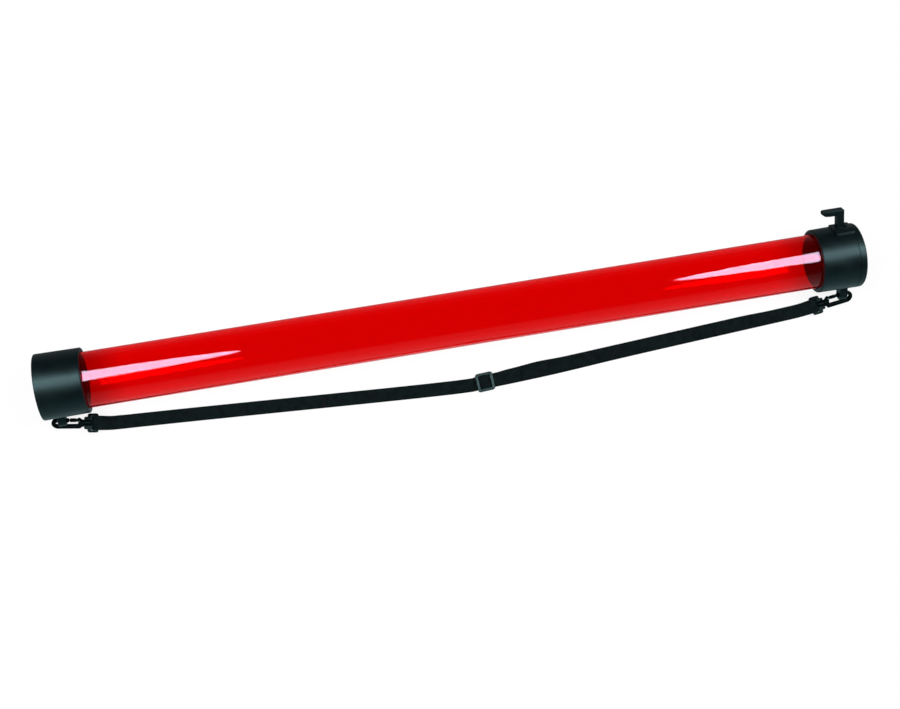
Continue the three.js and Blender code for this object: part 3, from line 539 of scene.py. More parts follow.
def woven_webbing(colour):
    """Polyester webbing, woven flat: ribs across it and rows of warp along it."""
    material, tree = new_material("woven_polyester_webbing")
    place = add_node(tree, "TexCoord")
    # The UV map runs in millimetres. Real ribs are 1 mm apart, and are drawn 2 mm apart to show.
    rib_spacing = 2.0
    warp_spacing = 2.5
    split = add_node(tree, "SeparateXYZ", {}, {"Vector": place.outputs["UV"]})
    along = add_node(tree, "Math", {"operation": "MULTIPLY", 1: 2 * math.pi / rib_spacing},
                     {0: split.outputs["X"]})
    across = add_node(tree, "Math", {"operation": "MULTIPLY", 1: 2 * math.pi / warp_spacing},
                      {0: split.outputs["Y"]})
    turn = add_node(tree, "Math", {"operation": "SINE"}, {0: across})
    shifted = add_node(tree, "Math", {"operation": "MULTIPLY_ADD", 1: 1.2}, {0: turn, 2: along})
    ribs = add_node(tree, "Math", {"operation": "SINE"}, {0: shifted})
    rows = add_node(tree, "Math", {"operation": "MULTIPLY_ADD", 1: 0.5}, {0: turn, 2: ribs})
    bump = add_node(tree, "Bump", {"Strength": 0.8, "Distance": 0.00012}, {"Height": rows})
    shade = add_node(tree, "MapRange", {"From Min": -1.5, "From Max": 1.5}, {"Value": rows})
    # Patches of 8 mm, where the pile has been rubbed, shift the tone a little.
    rubbed = add_node(tree, "TexNoise", {"Scale": 120, "Detail": 2}, {"Vector": place.outputs["Object"]})
    worn = add_node(tree, "Math", {"operation": "MULTIPLY_ADD", 1: 1.4, 2: -0.7}, {0: rubbed})
    both = add_node(tree, "Math", {"operation": "ADD", "use_clamp": True}, {0: shade, 1: worn})
    tone = add_node(tree, "Mix", {"data_type": "RGBA", "A": (*[v * 0.5 for v in colour], 1),
                                  "B": (*[v * 1.8 for v in colour], 1)}, {"Factor": both})
    shader = add_node(tree, "BsdfPrincipled", {"Roughness": 0.9, "Specular IOR Level": 0.02,
                                               "Sheen Weight": 0.01, "Sheen Roughness": 0.4},
                      {"Base Color": tone.outputs["Result"], "Normal": bump})
    add_node(tree, "OutputMaterial", {}, {"Surface": shader})
    return material


def drawn_steel():
    """Bright drawn steel wire, cut to a pin: fine drawing marks break up its gloss."""
    material, tree = new_material("drawn_steel")
    place = add_node(tree, "TexCoord").outputs["Object"]
    marks = add_node(tree, "TexNoise", {"Scale": 1800, "Detail": 2}, {"Vector": place})
    gloss = add_node(tree, "MapRange", {"To Min": 0.22, "To Max": 0.38}, {"Value": marks})
    shader = add_node(tree, "BsdfPrincipled", {"Base Color": (*linear("#B9BEC2"), 1), "Metallic": 1.0},
                      {"Roughness": gloss})
    add_node(tree, "OutputMaterial", {}, {"Surface": shader})
    return material


def sewing_thread(colour):
    """Bonded polyester sewing thread: twisted, with a low sheen."""
    material, tree = new_material("sewing_thread")
    bump = grown_bump(tree, add_node(tree, "TexCoord").outputs["Object"], 1400, 1, 0.0001, 0.5)
    shader = add_node(tree, "BsdfPrincipled", {"Base Color": (*colour, 1), "Roughness": 0.6,
                                               "Specular IOR Level": 0.05}, {"Normal": bump})
    add_node(tree, "OutputMaterial", {}, {"Surface": shader})
    return material


# Settings

def length(name, description, millimetres):
    """A length property in metres."""
    return bpy.props.FloatProperty(name=name, description=description, default=millimetres * MM,
                                   min=0.0, unit="LENGTH", precision=4)


def colour(name, description, hex_colour):
    """A colour property."""
    return bpy.props.FloatVectorProperty(name=name, description=description, subtype="COLOR", size=3,
                                         min=0.0, max=1.0, default=linear(hex_colour))


class PickupTubeSizes(bpy.types.PropertyGroup):
    """Sizes that a user may change."""
    tube_radius: length("Tube radius", "Outer radius of the clear tube", 38.0)
    tube_wall: length("Tube wall", "Thickness of the tube's wall", 2.0)
    end_piece_length: length("End piece length", "Length of each black end piece", 62.0)
    rim_radius: length("Rim radius", "Outer radius of the end pieces at their outer face", 45.1)
    webbing_width: length("Webbing width", "Width of the strap", 19.0)
    webbing_thickness: length("Webbing thickness", "Thickness of one layer of the strap", 1.3)
    stitch_length: length("Stitch length", "Length of one stitch of the sewn ends", 2.6)


class PickupTubeColours(bpy.types.PropertyGroup):
    """Colours that a user may change."""
    tube: colour("Tube", "Colour of the clear plastic", "#F21018")
    caps: colour("End pieces", "Colour of the moulded end pieces", "#070F11")
    fittings: colour("Fittings", "Colour of the hooks, eyes and buckle", "#060D0F")
    retainer: colour("Retainer", "Colour of the ring and its fingers", "#090D0E")
    webbing: colour("Webbing", "Colour of the strap", "#0D1718")
    floor: colour("Floor", "Colour of the floor", "#F7F7F7")


def sizes():
    """The sizes of this scene, in millimetres."""
    group = bpy.context.scene.pickup_tube_sizes
    return {name: getattr(group, name) / MM for name in group.__annotations__}


def colours():
    """The colours of this scene."""
    group = bpy.context.scene.pickup_tube_colours
    return {name: tuple(getattr(group, name)) for name in group.__annotations__}


MADE = {}


def finish(look):
    """The frame's slot and the material of a finish, made once."""
    if look not in MADE:
        tint = colours()
        makers = {
            "tube": ("clear_red_plastic", lambda: clear_extruded_plastic(tint["tube"])),
            # Acrylonitrile butadiene styrene with a satin mould grain gives a broad, soft sheen.
            "caps": ("black_cap_plastic", lambda: moulded_plastic(
                "moulded_abs", tint["caps"], 0.36, 0.0007, 0.00002)),
            # Acetal is smooth from the mould, but shines so little that its edges stay dark.
            "fittings": ("black_fitting_plastic", lambda: moulded_plastic(
                "moulded_acetal", tint["fittings"], 0.27, 0.0009, 0.00001, 0.025)),
            # Nylon with some glass in it shines more on the buckle's rounded bars.
            "buckle": ("black_fitting_plastic", lambda: moulded_plastic(
                "moulded_nylon", tint["fittings"], 0.33, 0.0009, 0.00001, 0.42)),
            # Polypropylene that flexes is duller.
            "retainer": ("black_retainer_plastic", lambda: moulded_plastic(
                "moulded_polypropylene", tint["retainer"], 0.48, 0.0008, 0.00002)),
            "webbing": ("black_webbing", lambda: woven_webbing(tint["webbing"])),
            "thread": ("black_webbing", lambda: sewing_thread(tint["webbing"])),
            "steel": ("pin_steel", drawn_steel),
        }
        slot, make = makers[look]
        MADE[look] = (slot, make())
    return MADE[look]


# Tube and end pieces, with depths from the outer face and heights from the tube's axis

SLIP_GAP = 0.3
CUT_OVERRUN = 4.0
SOCKET_DEPTH = 43.0
SOCKET_CHAMFER = 0.8
BORE_STEP = 0.5
RIM_FLARE = 0.7
MOUTH_ROUNDING = 1.6
TUBE_ROUNDING = 0.5
PICKUP_RIM_ROUNDING = 1.2
RELEASE_RIM_ROUNDING = 2.0
LEAD_OUT = 1.5

GROOVE_START = 9.3
GROOVE_END = 11.0
GROOVE_SINK = 0.7
GROOVE_SLOPE = 0.4

SEAT_WALL = 4.0
SEAT_DEPTH = 34.0
SEAT_CHAMFER = 0.6

LUG_LENGTH = 11.0
LUG_RADIUS = 7.8
LUG_HOLE_RADIUS = 4.5
LUG_FOOT = (8.6, -43.1)
LUG_ROUNDING = 0.8

SADDLE_START = 8.0
SADDLE_END = 36.0
SADDLE_FRONT = -12.5
SADDLE_BACK = 20.0
SADDLE_CORNER = 3.0
SADDLE_ROOT = 39.1
SADDLE_TOP = 46.8
SADDLE_RADIUS = 47.7
SADDLE_ROUNDING = 0.9
# The saddle's front is chamfered where y + z passes this sum.
SADDLE_SLANT = 62.0

PIN_HOLE_RADIUS = 2.3
PIN_HOLE_ENDS = (-14.5, 9.5)
LEVER_WIDTH = 11.6
HUB_RADIUS = 5.4


def end_piece_profile(size, rim_rounding, groove):
    """Outside of an end piece, from the outer face to the mouth, as (depth, radius) points."""
    rim = size["rim_radius"]
    parts = [arc(rim_rounding, rim - rim_rounding, rim_rounding, 180, 90, 10)]
    if groove:
        parts.append([(GROOVE_START, rim), (GROOVE_START + GROOVE_SLOPE, rim - GROOVE_SINK),
                      (GROOVE_END - GROOVE_SLOPE, rim - GROOVE_SINK), (GROOVE_END, rim)])
    parts.append(arc(size["end_piece_length"] - MOUTH_ROUNDING, rim - RIM_FLARE - MOUTH_ROUNDING,
                     MOUTH_ROUNDING, 90, 0, 8))
    return np.concatenate(parts)


def bore_radius(size):
    """Bore of the end pieces, a step wider than the tube's."""
    return size["tube_radius"] - size["tube_wall"] + BORE_STEP


def tube_socket(size):
    """Socket of an end piece, from its mouth to the shoulder that the tube stops at."""
    radius = size["tube_radius"] + SLIP_GAP
    long = size["end_piece_length"]
    return [(long, radius + SOCKET_CHAMFER), (long - SOCKET_CHAMFER, radius), (SOCKET_DEPTH, radius),
            (SOCKET_DEPTH, bore_radius(size))]


def strap_lug(drop):
    """Rounded ear with straight flanks, carried along the depth of the end piece."""
    half, foot = LUG_FOOT
    ear = np.concatenate([[(half, foot)], arc(0, -drop, LUG_RADIUS, 0, -180, 24), [(-half, foot)]])
    return depth_prism(ear, LUG_DEPTH - LUG_LENGTH / 2, LUG_DEPTH + LUG_LENGTH / 2, LUG_ROUNDING)


def lug_hole(drop):
    """Round hole along the depth of the end piece."""
    return round_bar(LUG_HOLE_RADIUS, LUG_DEPTH - LUG_LENGTH, LUG_DEPTH + LUG_LENGTH, "x", (0, -drop))


def saddle():
    """Boss of the lever: a block with rounded corners, inside a wider cylinder, its front chamfered."""
    start = SADDLE_START - CUT_OVERRUN
    end = SADDLE_END + CUT_OVERRUN
    block = prism(rectangle(SADDLE_START, SADDLE_END, SADDLE_FRONT, SADDLE_BACK, SADDLE_CORNER),
                  SADDLE_ROOT, SADDLE_TOP, SADDLE_ROUNDING)
    dome = turned([(start, SADDLE_RADIUS), (end, SADDLE_RADIUS)], 160, closed=False)
    # A triangle whose long side lies on the slant, and whose other sides lie clear of the block.
    y, z = -60, -10
    under = depth_prism([(y, z), (SADDLE_SLANT - z, z), (y, SADDLE_SLANT - y)], start, end)
    return solid_of(combined("boss", block, keeps=[dome, under]))


def lever_slot():
    """Slot and pocket that take the lever's hub and its folded arm, cut across the boss."""
    hub = HUB_RADIUS + SLIP_GAP
    outline = [(-8.47, 4.4), (-8.47, 1.55), (-hub, -2.7), (-hub, -9.9), (17.24, -9.9), (17.24, -4.15),
               (hub, 0.28), (hub, 4.4)]
    points, faces = side_prism(outline, LEVER_WIDTH + 2 * SLIP_GAP)
    return points + [PIVOT_DEPTH, 0, PIVOT_HEIGHT], faces


class PICKUPTUBE_OT_clear_tube(bpy.types.Operator):
    """Clear tube: a ring profile with softened rims turned about the tube's axis"""
    bl_idname = "pickup_tube.clear_tube"
    bl_label = "Clear tube"

    def execute(self, context):
        size = sizes()
        r = TUBE_ROUNDING
        outer = size["tube_radius"] - r
        inner = size["tube_radius"] - size["tube_wall"] + r
        half = HALF_LENGTH - SOCKET_DEPTH - SLIP_GAP
        rows = np.linspace(-half, half, 25)[1:-1]
        profile = np.concatenate([
            arc(r - half, outer, r, 180, 90, 4), np.column_stack([rows, np.full(len(rows), outer + r)]),
            arc(half - r, outer, r, 90, 0, 4), arc(half - r, inner, r, 0, -90, 4),
            np.column_stack([rows[::-1], np.full(len(rows), inner - r)]),
            arc(r - half, inner, r, -90, -180, 4)])
        mesh = placed(mesh_of("clear_tube", *turned(profile, 192)), TUBE)
        piece("clear_tube", mesh, "tube", "tube_body", ["tube"], weighted=False)
        return {"FINISHED"}


class PICKUPTUBE_OT_collar(bpy.types.Operator):
    """Pickup collar: a turned shell joined with its strap lug"""
    bl_idname = "pickup_tube.collar"
    bl_label = "Pickup collar"

    def execute(self, context):
        size = sizes()
        seat = size["rim_radius"] - SEAT_WALL
        profile = np.concatenate([end_piece_profile(size, PICKUP_RIM_ROUNDING, False), tube_socket(size),
                                  [(SEAT_DEPTH, bore_radius(size)), (SEAT_DEPTH, seat), (SEAT_CHAMFER, seat),
                                   (0, seat + SEAT_CHAMFER)]])
        mesh = combined("collar", turned(profile), [strap_lug(PICKUP_LUG_DROP)], [lug_hole(PICKUP_LUG_DROP)])
        piece("collar_shell", placed(mesh, PICKUP_END), "caps", "tube_body", ["pickup_collar"])
        return {"FINISHED"}


class PICKUPTUBE_OT_release_cap(bpy.types.Operator):
    """Release cap: a turned shell with a ring groove, its lever boss and lug, cut for lever and pin"""
    bl_idname = "pickup_tube.release_cap"
    bl_label = "Release cap"

    def execute(self, context):
        size = sizes()
        bore = bore_radius(size)
        profile = np.concatenate([end_piece_profile(size, RELEASE_RIM_ROUNDING, True), tube_socket(size),
                                  [(LEAD_OUT, bore), (0, bore + LEAD_OUT)]])
        pin_hole = round_bar(PIN_HOLE_RADIUS, *PIN_HOLE_ENDS, "y", (PIVOT_DEPTH, PIVOT_HEIGHT))
        mesh = combined("release_cap", turned(profile), [saddle(), strap_lug(RELEASE_LUG_DROP)],
                        [lug_hole(RELEASE_LUG_DROP), lever_slot(), pin_hole])
        piece("release_cap_shell", placed(mesh, RELEASE_END), "caps", "tube_body", ["release_cap"])
        return {"FINISHED"}


# Release lever, from its pivot

LEVER_OUTLINE = [(-4.4, 0), (5.5, 0), (5.5, 20.8), (16.4, 20.8), (22.6, 21.6), (27, 24.6), (27, 28.6),
                 (-4.4, 28.6)]
LEVER_CORNERS = [0.01, 0.01, 3, 6, 3, 1.2, 1.0, 1.2]
LEVER_ROUNDING = 0.9
PAD_PLAN = (-10.6, 27, -5.8, 5.8)
PAD_PLAN_RADIUS = 4.4
PAD_PLAN_HEIGHTS = (-6, 28.6)
PAD_PLAN_ROUNDING = 0.8
HUB_ROUNDING = 0.5
ARM_LENGTH = 16.0
ARM_THICKNESS = 4.0
ARM_SLOPE = 33
ARM_ROUNDING = 0.6


class PICKUPTUBE_OT_lever(bpy.types.Operator):
    """Release lever: stem and thumb pad from a side outline, kept inside a plan, with hub and arm"""
    bl_idname = "pickup_tube.lever"
    bl_label = "Release lever"

    def execute(self, context):
        half = LEVER_WIDTH / 2
        upper = side_prism(rounded(LEVER_OUTLINE, LEVER_CORNERS), LEVER_WIDTH, LEVER_ROUNDING)
        plan = prism(rectangle(*PAD_PLAN, PAD_PLAN_RADIUS, 10), *PAD_PLAN_HEIGHTS, PAD_PLAN_ROUNDING)
        hub = round_bar(HUB_RADIUS, -half, half, "y", edge=HUB_ROUNDING)
        thick = ARM_THICKNESS / 2
        arm_outline = np.concatenate([[(0, -thick)], arc(ARM_LENGTH, 0, thick, -90, 90, 12), [(0, thick)]])
        arm, faces = side_prism(arm_outline, LEVER_WIDTH, ARM_ROUNDING)
        # The arm lies along X and turns down past the cap's bore.
        arm = rotated(arm, 90 - ARM_SLOPE, 2, 0)
        pin_hole = round_bar(PIN_HOLE_RADIUS, -half - CUT_OVERRUN, half + CUT_OVERRUN, "y")
        mesh = combined("lever", upper, [hub, (arm, faces)], [pin_hole], [plan])
        piece("thumb_lever", placed(mesh, LEVER), "caps", "lever", ["release_lever"])
        return {"FINISHED"}


# Retainer, with depths from the collar's outer face and radii from the tube's axis

RING_FRONT = 0.4
RING_BACK = 10.0
RING_OUTER = 40.8
RING_INNER = 37.3
RING_ROUNDING = 0.8
RING_CHAMFER = 0.4
RING_LEAD_IN = (4.0, 1.8)
FINGER_COUNT = 4
FINGER_ROOT = (10.8, 38.6)
FINGER_LENGTH = 19.5
FINGER_DROP = 6.8
FINGER_HALF_THICKNESS = 0.9
FINGER_HALF_WIDTHS = (12.5, 8.5)
FINGER_CORNER = 4.0
FINGER_BEAD = 1.3
FINGER_EDGE = 0.7


class PICKUPTUBE_OT_retainer(bpy.types.Operator):
    """Retainer: a turned ring, and four fingers that are strips of a cone with a beaded tip"""
    bl_idname = "pickup_tube.retainer"
    bl_label = "Retainer ring and fingers"

    def execute(self, context):
        run_in, narrowing = RING_LEAD_IN
        c = RING_CHAMFER
        ring = np.concatenate([
            [(RING_FRONT, RING_INNER + narrowing)],
            arc(RING_FRONT + RING_ROUNDING, RING_OUTER - RING_ROUNDING, RING_ROUNDING, 180, 90, 5),
            [(RING_BACK - c, RING_OUTER), (RING_BACK, RING_OUTER - c), (RING_BACK, RING_INNER + c),
             (RING_BACK - c, RING_INNER), (RING_FRONT + run_in, RING_INNER)]])
        mesh = placed(mesh_of("retainer", *turned(ring)), PICKUP_END)
        piece("retainer_turned_ring", mesh, "retainer", "tube_body", ["retainer_ring"])
        for number in range(FINGER_COUNT):
            points, faces = self.finger()
            points = rotated(points, (number + 0.5) * 360 / FINGER_COUNT, 1, 2)
            piece(f"retaining_finger_{number + 1}", placed(mesh_of("finger", points, faces), PICKUP_END),
                  "retainer", f"finger_{number + 1}", [f"retainer_finger_{number + 1}"])
        return {"FINISHED"}

    def finger(self):
        """Side profile carried across the finger: y runs to the plan's half width, z = sqrt(r^2 - y^2)."""
        slope = math.atan2(FINGER_DROP, FINGER_LENGTH)
        root = np.array(FINGER_ROOT)
        tip = root + [FINGER_LENGTH, -FINGER_DROP]
        seat = tip + [-FINGER_BEAD, FINGER_BEAD * math.tan(slope)]
        across = np.array([math.sin(slope), math.cos(slope)]) * FINGER_HALF_THICKNESS
        top = np.linspace(root + [0, FINGER_HALF_THICKNESS], seat + across, 14)
        bottom = np.linspace(seat - across, root - [0, FINGER_HALF_THICKNESS], 14)
        degrees = math.degrees(slope)
        profile = np.concatenate([top, arc(*tip, FINGER_BEAD, 90 - degrees, -90 - degrees, 12), bottom])
        x, r = profile.T
        middle = root[1] - (np.clip(x, root[0], tip[0]) - root[0]) * FINGER_DROP / FINGER_LENGTH
        # The plan narrows to where its end corners start to round off.
        corner = tip[0] + FINGER_BEAD - FINGER_CORNER
        wide, narrow = FINGER_HALF_WIDTHS
        past = np.clip(x - corner, 0, FINGER_CORNER - 0.001)
        half = np.where(x > corner, narrow - FINGER_CORNER + np.sqrt(FINGER_CORNER ** 2 - past ** 2),
                        np.interp(x, [root[0], corner], [wide, narrow]))
        # Columns crowd towards both edges, where the thickness rounds down to a quarter.
        crowded = 1 - 0.06 * (1 - np.cos(np.linspace(0, math.pi / 2, 4)))
        v = np.concatenate([-crowded, np.linspace(-0.85, 0.85, 15), crowded[::-1]])
        y = v[:, None] * half[None, :]
        edge = np.clip((half[None, :] - np.abs(y)) / FINGER_EDGE, 0, 1)
        full = 0.25 + 0.75 * np.sqrt(np.clip(1 - (1 - edge) ** 2, 0, 1))
        radius = middle[None, :] + (r - middle)[None, :] * full
        z = np.sqrt(radius ** 2 - y ** 2)
        points = np.stack([np.broadcast_to(x, y.shape), y, z], axis=-1).reshape(-1, 3)
        return points, capped(*y.shape)


# Strap fittings, with X = 0 at the outer end of the hook's bend and the strap towards -X

HOOK_BACK_START = -38.0
HOOK_STRAIGHT_END = -10.6
HOOK_BEND_CENTRE = -9.05
HOOK_NOSE_END = -23.0
HOOK_HALF_THICKNESS = 3.0
# Half widths at distances along the hook, and the shares that round off its nose
HOOK_WIDTH_STATIONS = (0, 27, 47)
HOOK_HALF_WIDTHS = (3.0, 2.75, 2.6, 2.5)
NOSE_TIP_SHARES = [(0.6, 0.97), (1.2, 0.88), (1.8, 0.7), (2.2, 0.5), (2.45, 0.2)]
HOOK_ROOT_OUTLINE = [(-42, -5), (-36, -9.3), (-36, 8.8), (-39.2, 8.8), (-42, 5)]
HOOK_ROOT_CORNERS = [1, 1.6, 1.2, 1.5, 1]
HOOK_ROOT_ROUNDING = 1.4
# Flange, shank and head, turned about X
SPINDLE_PROFILE = [(-40.4, 4.6), (-40.8, 5), (-43.2, 5), (-43.6, 4.6), (-43.6, 2.1), (-53.7, 2.1),
                   (-53.7, 3.5), (-54, 3.8), (-54.8, 3.8), (-55.1, 3.5)]

GATE_PIVOT = -37.6
GATE_SLOT = (-40.55, -34, 2.55, 10.8)
GATE_SLOT_HALF_WIDTH = 1.65
GATE_HALF_WIDTH = 1.8
GATE_BAR = (-34.4, -25.8)
GATE_BAR_HALF_THICKNESS = 2.3
TANG_END = -32.4
TANG_HALF_THICKNESS = 1.3
GATE_PIN_HOLE_RADIUS = 1.1

EYE_INNER_END = -48.4
EYE_OUTER_END = -63.0
EYE_HALF_WIDTH = 13.0
EYE_RAIL = 3.0
EYE_BAR = 5.0
EYE_THICKNESS = 4.6
EYE_CORNER = 3.0
EYE_ROUNDING = 1.1
SHOULDER_OUTLINE = [(-50.9, -8.5), (-50.9, 8.5), (-45.1, 8.5), (-43.9, 7.3), (-43.9, -7.3), (-45.1, -8.5)]
SHOULDER_CORNERS = [0.5, 0.5, 0.8, 0.6, 0.6, 0.8]
SHOULDER_ROUNDING = 0.9
BARREL_RADIUS = 4.8
BARREL_ENDS = (-53.4, -43.9)
BARREL_ROUNDING = 0.7
BARREL_BORE_RADIUS = 2.4

BUCKLE_HALF_LENGTH = 12.0
BUCKLE_HALF_WIDTH = 12.9
BUCKLE_HEIGHT = 6.6
BUCKLE_CORNER = 3.4
BUCKLE_ROUNDING = 1.3
BUCKLE_RAIL = 2.9
END_BAR_WIDTH = 3.4
WINDOW_CORNER = 0.8
# Height of the room for the webbing below the end bars
WEBBING_ROOM = 4.8
MIDDLE_BAR = (-2.1, 2.1, 3.2, 5)
MIDDLE_BAR_LENGTH = 22.9
END_BAR_INNER = 8.5
END_BAR_OUTER = 12.1
END_BAR_TOP = 7.0
END_BAR_LENGTH = 23.4
END_BAR_CORNER = 1.05
END_BAR_ROUNDING = 0.9


def hook_body():
    """J of a snap hook: a soft-cornered section carried round the bend, with the nose's round end."""
    back = np.linspace((HOOK_BACK_START, -HOOK_LEG), (HOOK_STRAIGHT_END, -HOOK_LEG), 28)
    bend = arc(HOOK_BEND_CENTRE, 0, HOOK_LEG, -90, 90, 28)
    nose = np.linspace((HOOK_STRAIGHT_END, HOOK_LEG), (HOOK_NOSE_END, HOOK_LEG), 14)
    path = np.concatenate([back, bend, nose])
    s = distances(path)
    past, shares = np.array(NOSE_TIP_SHARES).T
    path = np.concatenate([path, path[-1] - past[:, None] * [1, 0]])
    share = np.concatenate([np.ones(len(s)), shares])
    along = np.concatenate([s, s[-1] + past])
    widths = np.interp(along, [*HOOK_WIDTH_STATIONS, s[-1]], HOOK_HALF_WIDTHS) * share
    line = np.column_stack([path, np.zeros(len(path))])
    tangent = np.gradient(line, axis=0)
    side = np.stack([-tangent[:, 1], tangent[:, 0], tangent[:, 2]], axis=1)
    return swept(line, side, superellipse(2.8), widths, HOOK_HALF_THICKNESS * share)


def gate_pin_hole(height):
    """Hole of a gate's pin, at a height over the gate's line."""
    return round_bar(GATE_PIN_HOLE_RADIUS, -6, 6, "z", (GATE_PIVOT, height), segments=20)


class PICKUPTUBE_OT_snap_hooks(bpy.types.Operator):
    """Snap hooks: a swept J joined with its root, flange and swivel shank, cut for gate and pin"""
    bl_idname = "pickup_tube.snap_hooks"
    bl_label = "Snap hooks and gates"

    def execute(self, context):
        block = prism(rounded(HOOK_ROOT_OUTLINE, HOOK_ROOT_CORNERS, 5), -HOOK_HALF_THICKNESS,
                      HOOK_HALF_THICKNESS, HOOK_ROOT_ROUNDING, 4)
        spindle = turned(SPINDLE_PROFILE, 40, closed=False)
        slot = prism(rectangle(*GATE_SLOT, 0.35), -GATE_SLOT_HALF_WIDTH, GATE_SLOT_HALF_WIDTH)
        for side, place in HOOKS.items():
            mesh = combined("snap_hook", hook_body(), [block, spindle], [slot, gate_pin_hole(HOOK_LEG)])
            piece(f"snap_hook_body_{side}", placed(mesh, place), "fittings", "strap", [f"snap_hook_{side}"])
            self.gate(side, Place(place.points((0, HOOK_LEG, 0)), *place.axes))
        return {"FINISHED"}

    def gate(self, side, place):
        """Gate: a tang with a round end, and a thicker bar with rounded edges."""
        half = GATE_HALF_WIDTH
        tang = np.concatenate([arc(GATE_PIVOT, 0, half, 90, 270, 14), [(TANG_END, -half), (TANG_END, half)]])
        bar = prism(rectangle(*GATE_BAR, -half, half, 0.3, 3), -GATE_BAR_HALF_THICKNESS,
                    GATE_BAR_HALF_THICKNESS, 0.7, 4)
        mesh = combined("hook_gate", prism(tang, -TANG_HALF_THICKNESS, TANG_HALF_THICKNESS, 0.3), [bar],
                        [gate_pin_hole(0)])
        piece(f"gate_bar_{side}", placed(mesh, place), "fittings", f"gate_{side}", [f"hook_gate_{side}"])


class PICKUPTUBE_OT_strap_eyes(bpy.types.Operator):
    """Swivel eyes: a frame between two rounded rectangles, joined with a shoulder and a barrel"""
    bl_idname = "pickup_tube.strap_eyes"
    bl_label = "Strap eyes"

    def execute(self, context):
        thick = EYE_THICKNESS / 2
        wide = EYE_HALF_WIDTH - EYE_RAIL
        plate = prism(rectangle(EYE_OUTER_END, EYE_INNER_END, -EYE_HALF_WIDTH, EYE_HALF_WIDTH, EYE_CORNER, 8),
                      -thick, thick, EYE_ROUNDING, 4)
        window = prism(rectangle(EYE_OUTER_END + EYE_BAR, EYE_INNER_END - EYE_BAR, -wide, wide,
                                 WINDOW_CORNER, 4), -CUT_OVERRUN, CUT_OVERRUN)
        shoulder = prism(rounded(SHOULDER_OUTLINE, SHOULDER_CORNERS, 5), -thick, thick, SHOULDER_ROUNDING, 4)
        barrel = round_bar(BARREL_RADIUS, *BARREL_ENDS, "x", edge=BARREL_ROUNDING, segments=40)
        bore = round_bar(BARREL_BORE_RADIUS, BARREL_ENDS[0] - CUT_OVERRUN, BARREL_ENDS[1] + CUT_OVERRUN, "x")
        for side, place in EYES.items():
            mesh = combined("strap_eye", plate, [shoulder, barrel], [window, bore])
            piece(f"eye_frame_{side}", placed(mesh, place), "fittings", f"eye_{side}", [f"strap_eye_{side}"])
        return {"FINISHED"}


class PICKUPTUBE_OT_slide_buckle(bpy.types.Operator):
    """Slide buckle: a soft-edged block opened below and above the webbing, with its three bars"""
    bl_idname = "pickup_tube.slide_buckle"
    bl_label = "Slide buckle"

    def execute(self, context):
        long = BUCKLE_HALF_LENGTH
        inner = BUCKLE_HALF_WIDTH - BUCKLE_RAIL
        open_to = long - END_BAR_WIDTH
        block = prism(rectangle(-long, long, -BUCKLE_HALF_WIDTH, BUCKLE_HALF_WIDTH, BUCKLE_CORNER, 8),
                      0, BUCKLE_HEIGHT, BUCKLE_ROUNDING, 4)
        under = prism(rectangle(-long - CUT_OVERRUN, long + CUT_OVERRUN, -inner, inner, 1), -CUT_OVERRUN,
                      WEBBING_ROOM)
        window = prism(rectangle(-open_to, open_to, -inner, inner, WINDOW_CORNER), 0,
                       BUCKLE_HEIGHT + CUT_OVERRUN)
        opened = combined("slide_buckle", block, [], [under, window])
        bars = [side_prism(rectangle(*MIDDLE_BAR, WINDOW_CORNER), MIDDLE_BAR_LENGTH)]
        for ends in ((-END_BAR_OUTER, -END_BAR_INNER), (END_BAR_INNER, END_BAR_OUTER)):
            bar = rectangle(*ends, WEBBING_ROOM, END_BAR_TOP, END_BAR_CORNER)
            bars.append(side_prism(bar, END_BAR_LENGTH, END_BAR_ROUNDING))
        mesh = combined("slide_buckle", solid_of(opened), bars)
        piece("buckle_frame", placed(mesh, BUCKLE), "buckle", "slider", ["slide_buckle"])
        return {"FINISHED"}


# Webbing, with distances from the buckle's middle along its X

LAYER_GAP = 0.3
POINT_SPACING = 1.4
FOLD_CONVERGE = 22.0
# The turn round the bar is drawn out along the strap by this share.
FOLD_STRETCH_SHARE = 1.45
LEFT_ARRIVAL = -14.2
LEFT_ARRIVAL_SHARE = 0.1
LEFT_SAG = -5.2
UNDER_BUCKLE = -7.0
SECOND_START = 14.2
SECOND_END = 425.0
LOOP_REACH = -13.4
LOOP_TAIL = 52.0
LOOP_CLIMB = (-8.6, -2.4)
LOOP_TOP = 5.95
SEWN_TAIL = (20, 48)
SEWN_FOLD = (-4.5, 4.5)
SEWN_FOLD_SHARE = 0.82
STITCH_INSET = 2.4
# Places in the eye's frame between which a ribbon would twist as its eye swivels; they are worked out but not
# used.
TWIST = (-108, -72)


def layer(size, number):
    """Height of the middle of a layer of webbing, counted from 0 at the surface."""
    return size["webbing_thickness"] * (number + 0.5) + LAYER_GAP * number


def ribbon(name, path, side, size, start=0.0):
    """Webbing: a flat section with round selvedges carried along a path, its UV map in millimetres."""
    half_width = size["webbing_width"] / 2
    half_thick = size["webbing_thickness"] / 2
    section = rectangle(-half_width, half_width, -half_thick, half_thick, half_thick * 0.75, 3)
    flat = np.linspace(-half_width + half_thick, half_width - half_thick, 11)
    upper = section[section[:, 1] > 0]
    lower = section[section[:, 1] < 0]
    section = np.concatenate([
        np.column_stack([flat, np.full(11, -half_thick)]), lower[lower[:, 0] > flat[-1]],
        upper[upper[:, 0] > flat[-1]], np.column_stack([flat[::-1], np.full(11, half_thick)]),
        upper[upper[:, 0] < flat[0]], lower[lower[:, 0] < flat[0]]])
    points, faces = swept(path, side, section)
    s = distances(path) + start
    uv = np.stack(np.broadcast_arrays(s[:, None], section[:, 0][None, :]), axis=-1).reshape(-1, 2)
    return mesh_of(name, points, faces, uv)


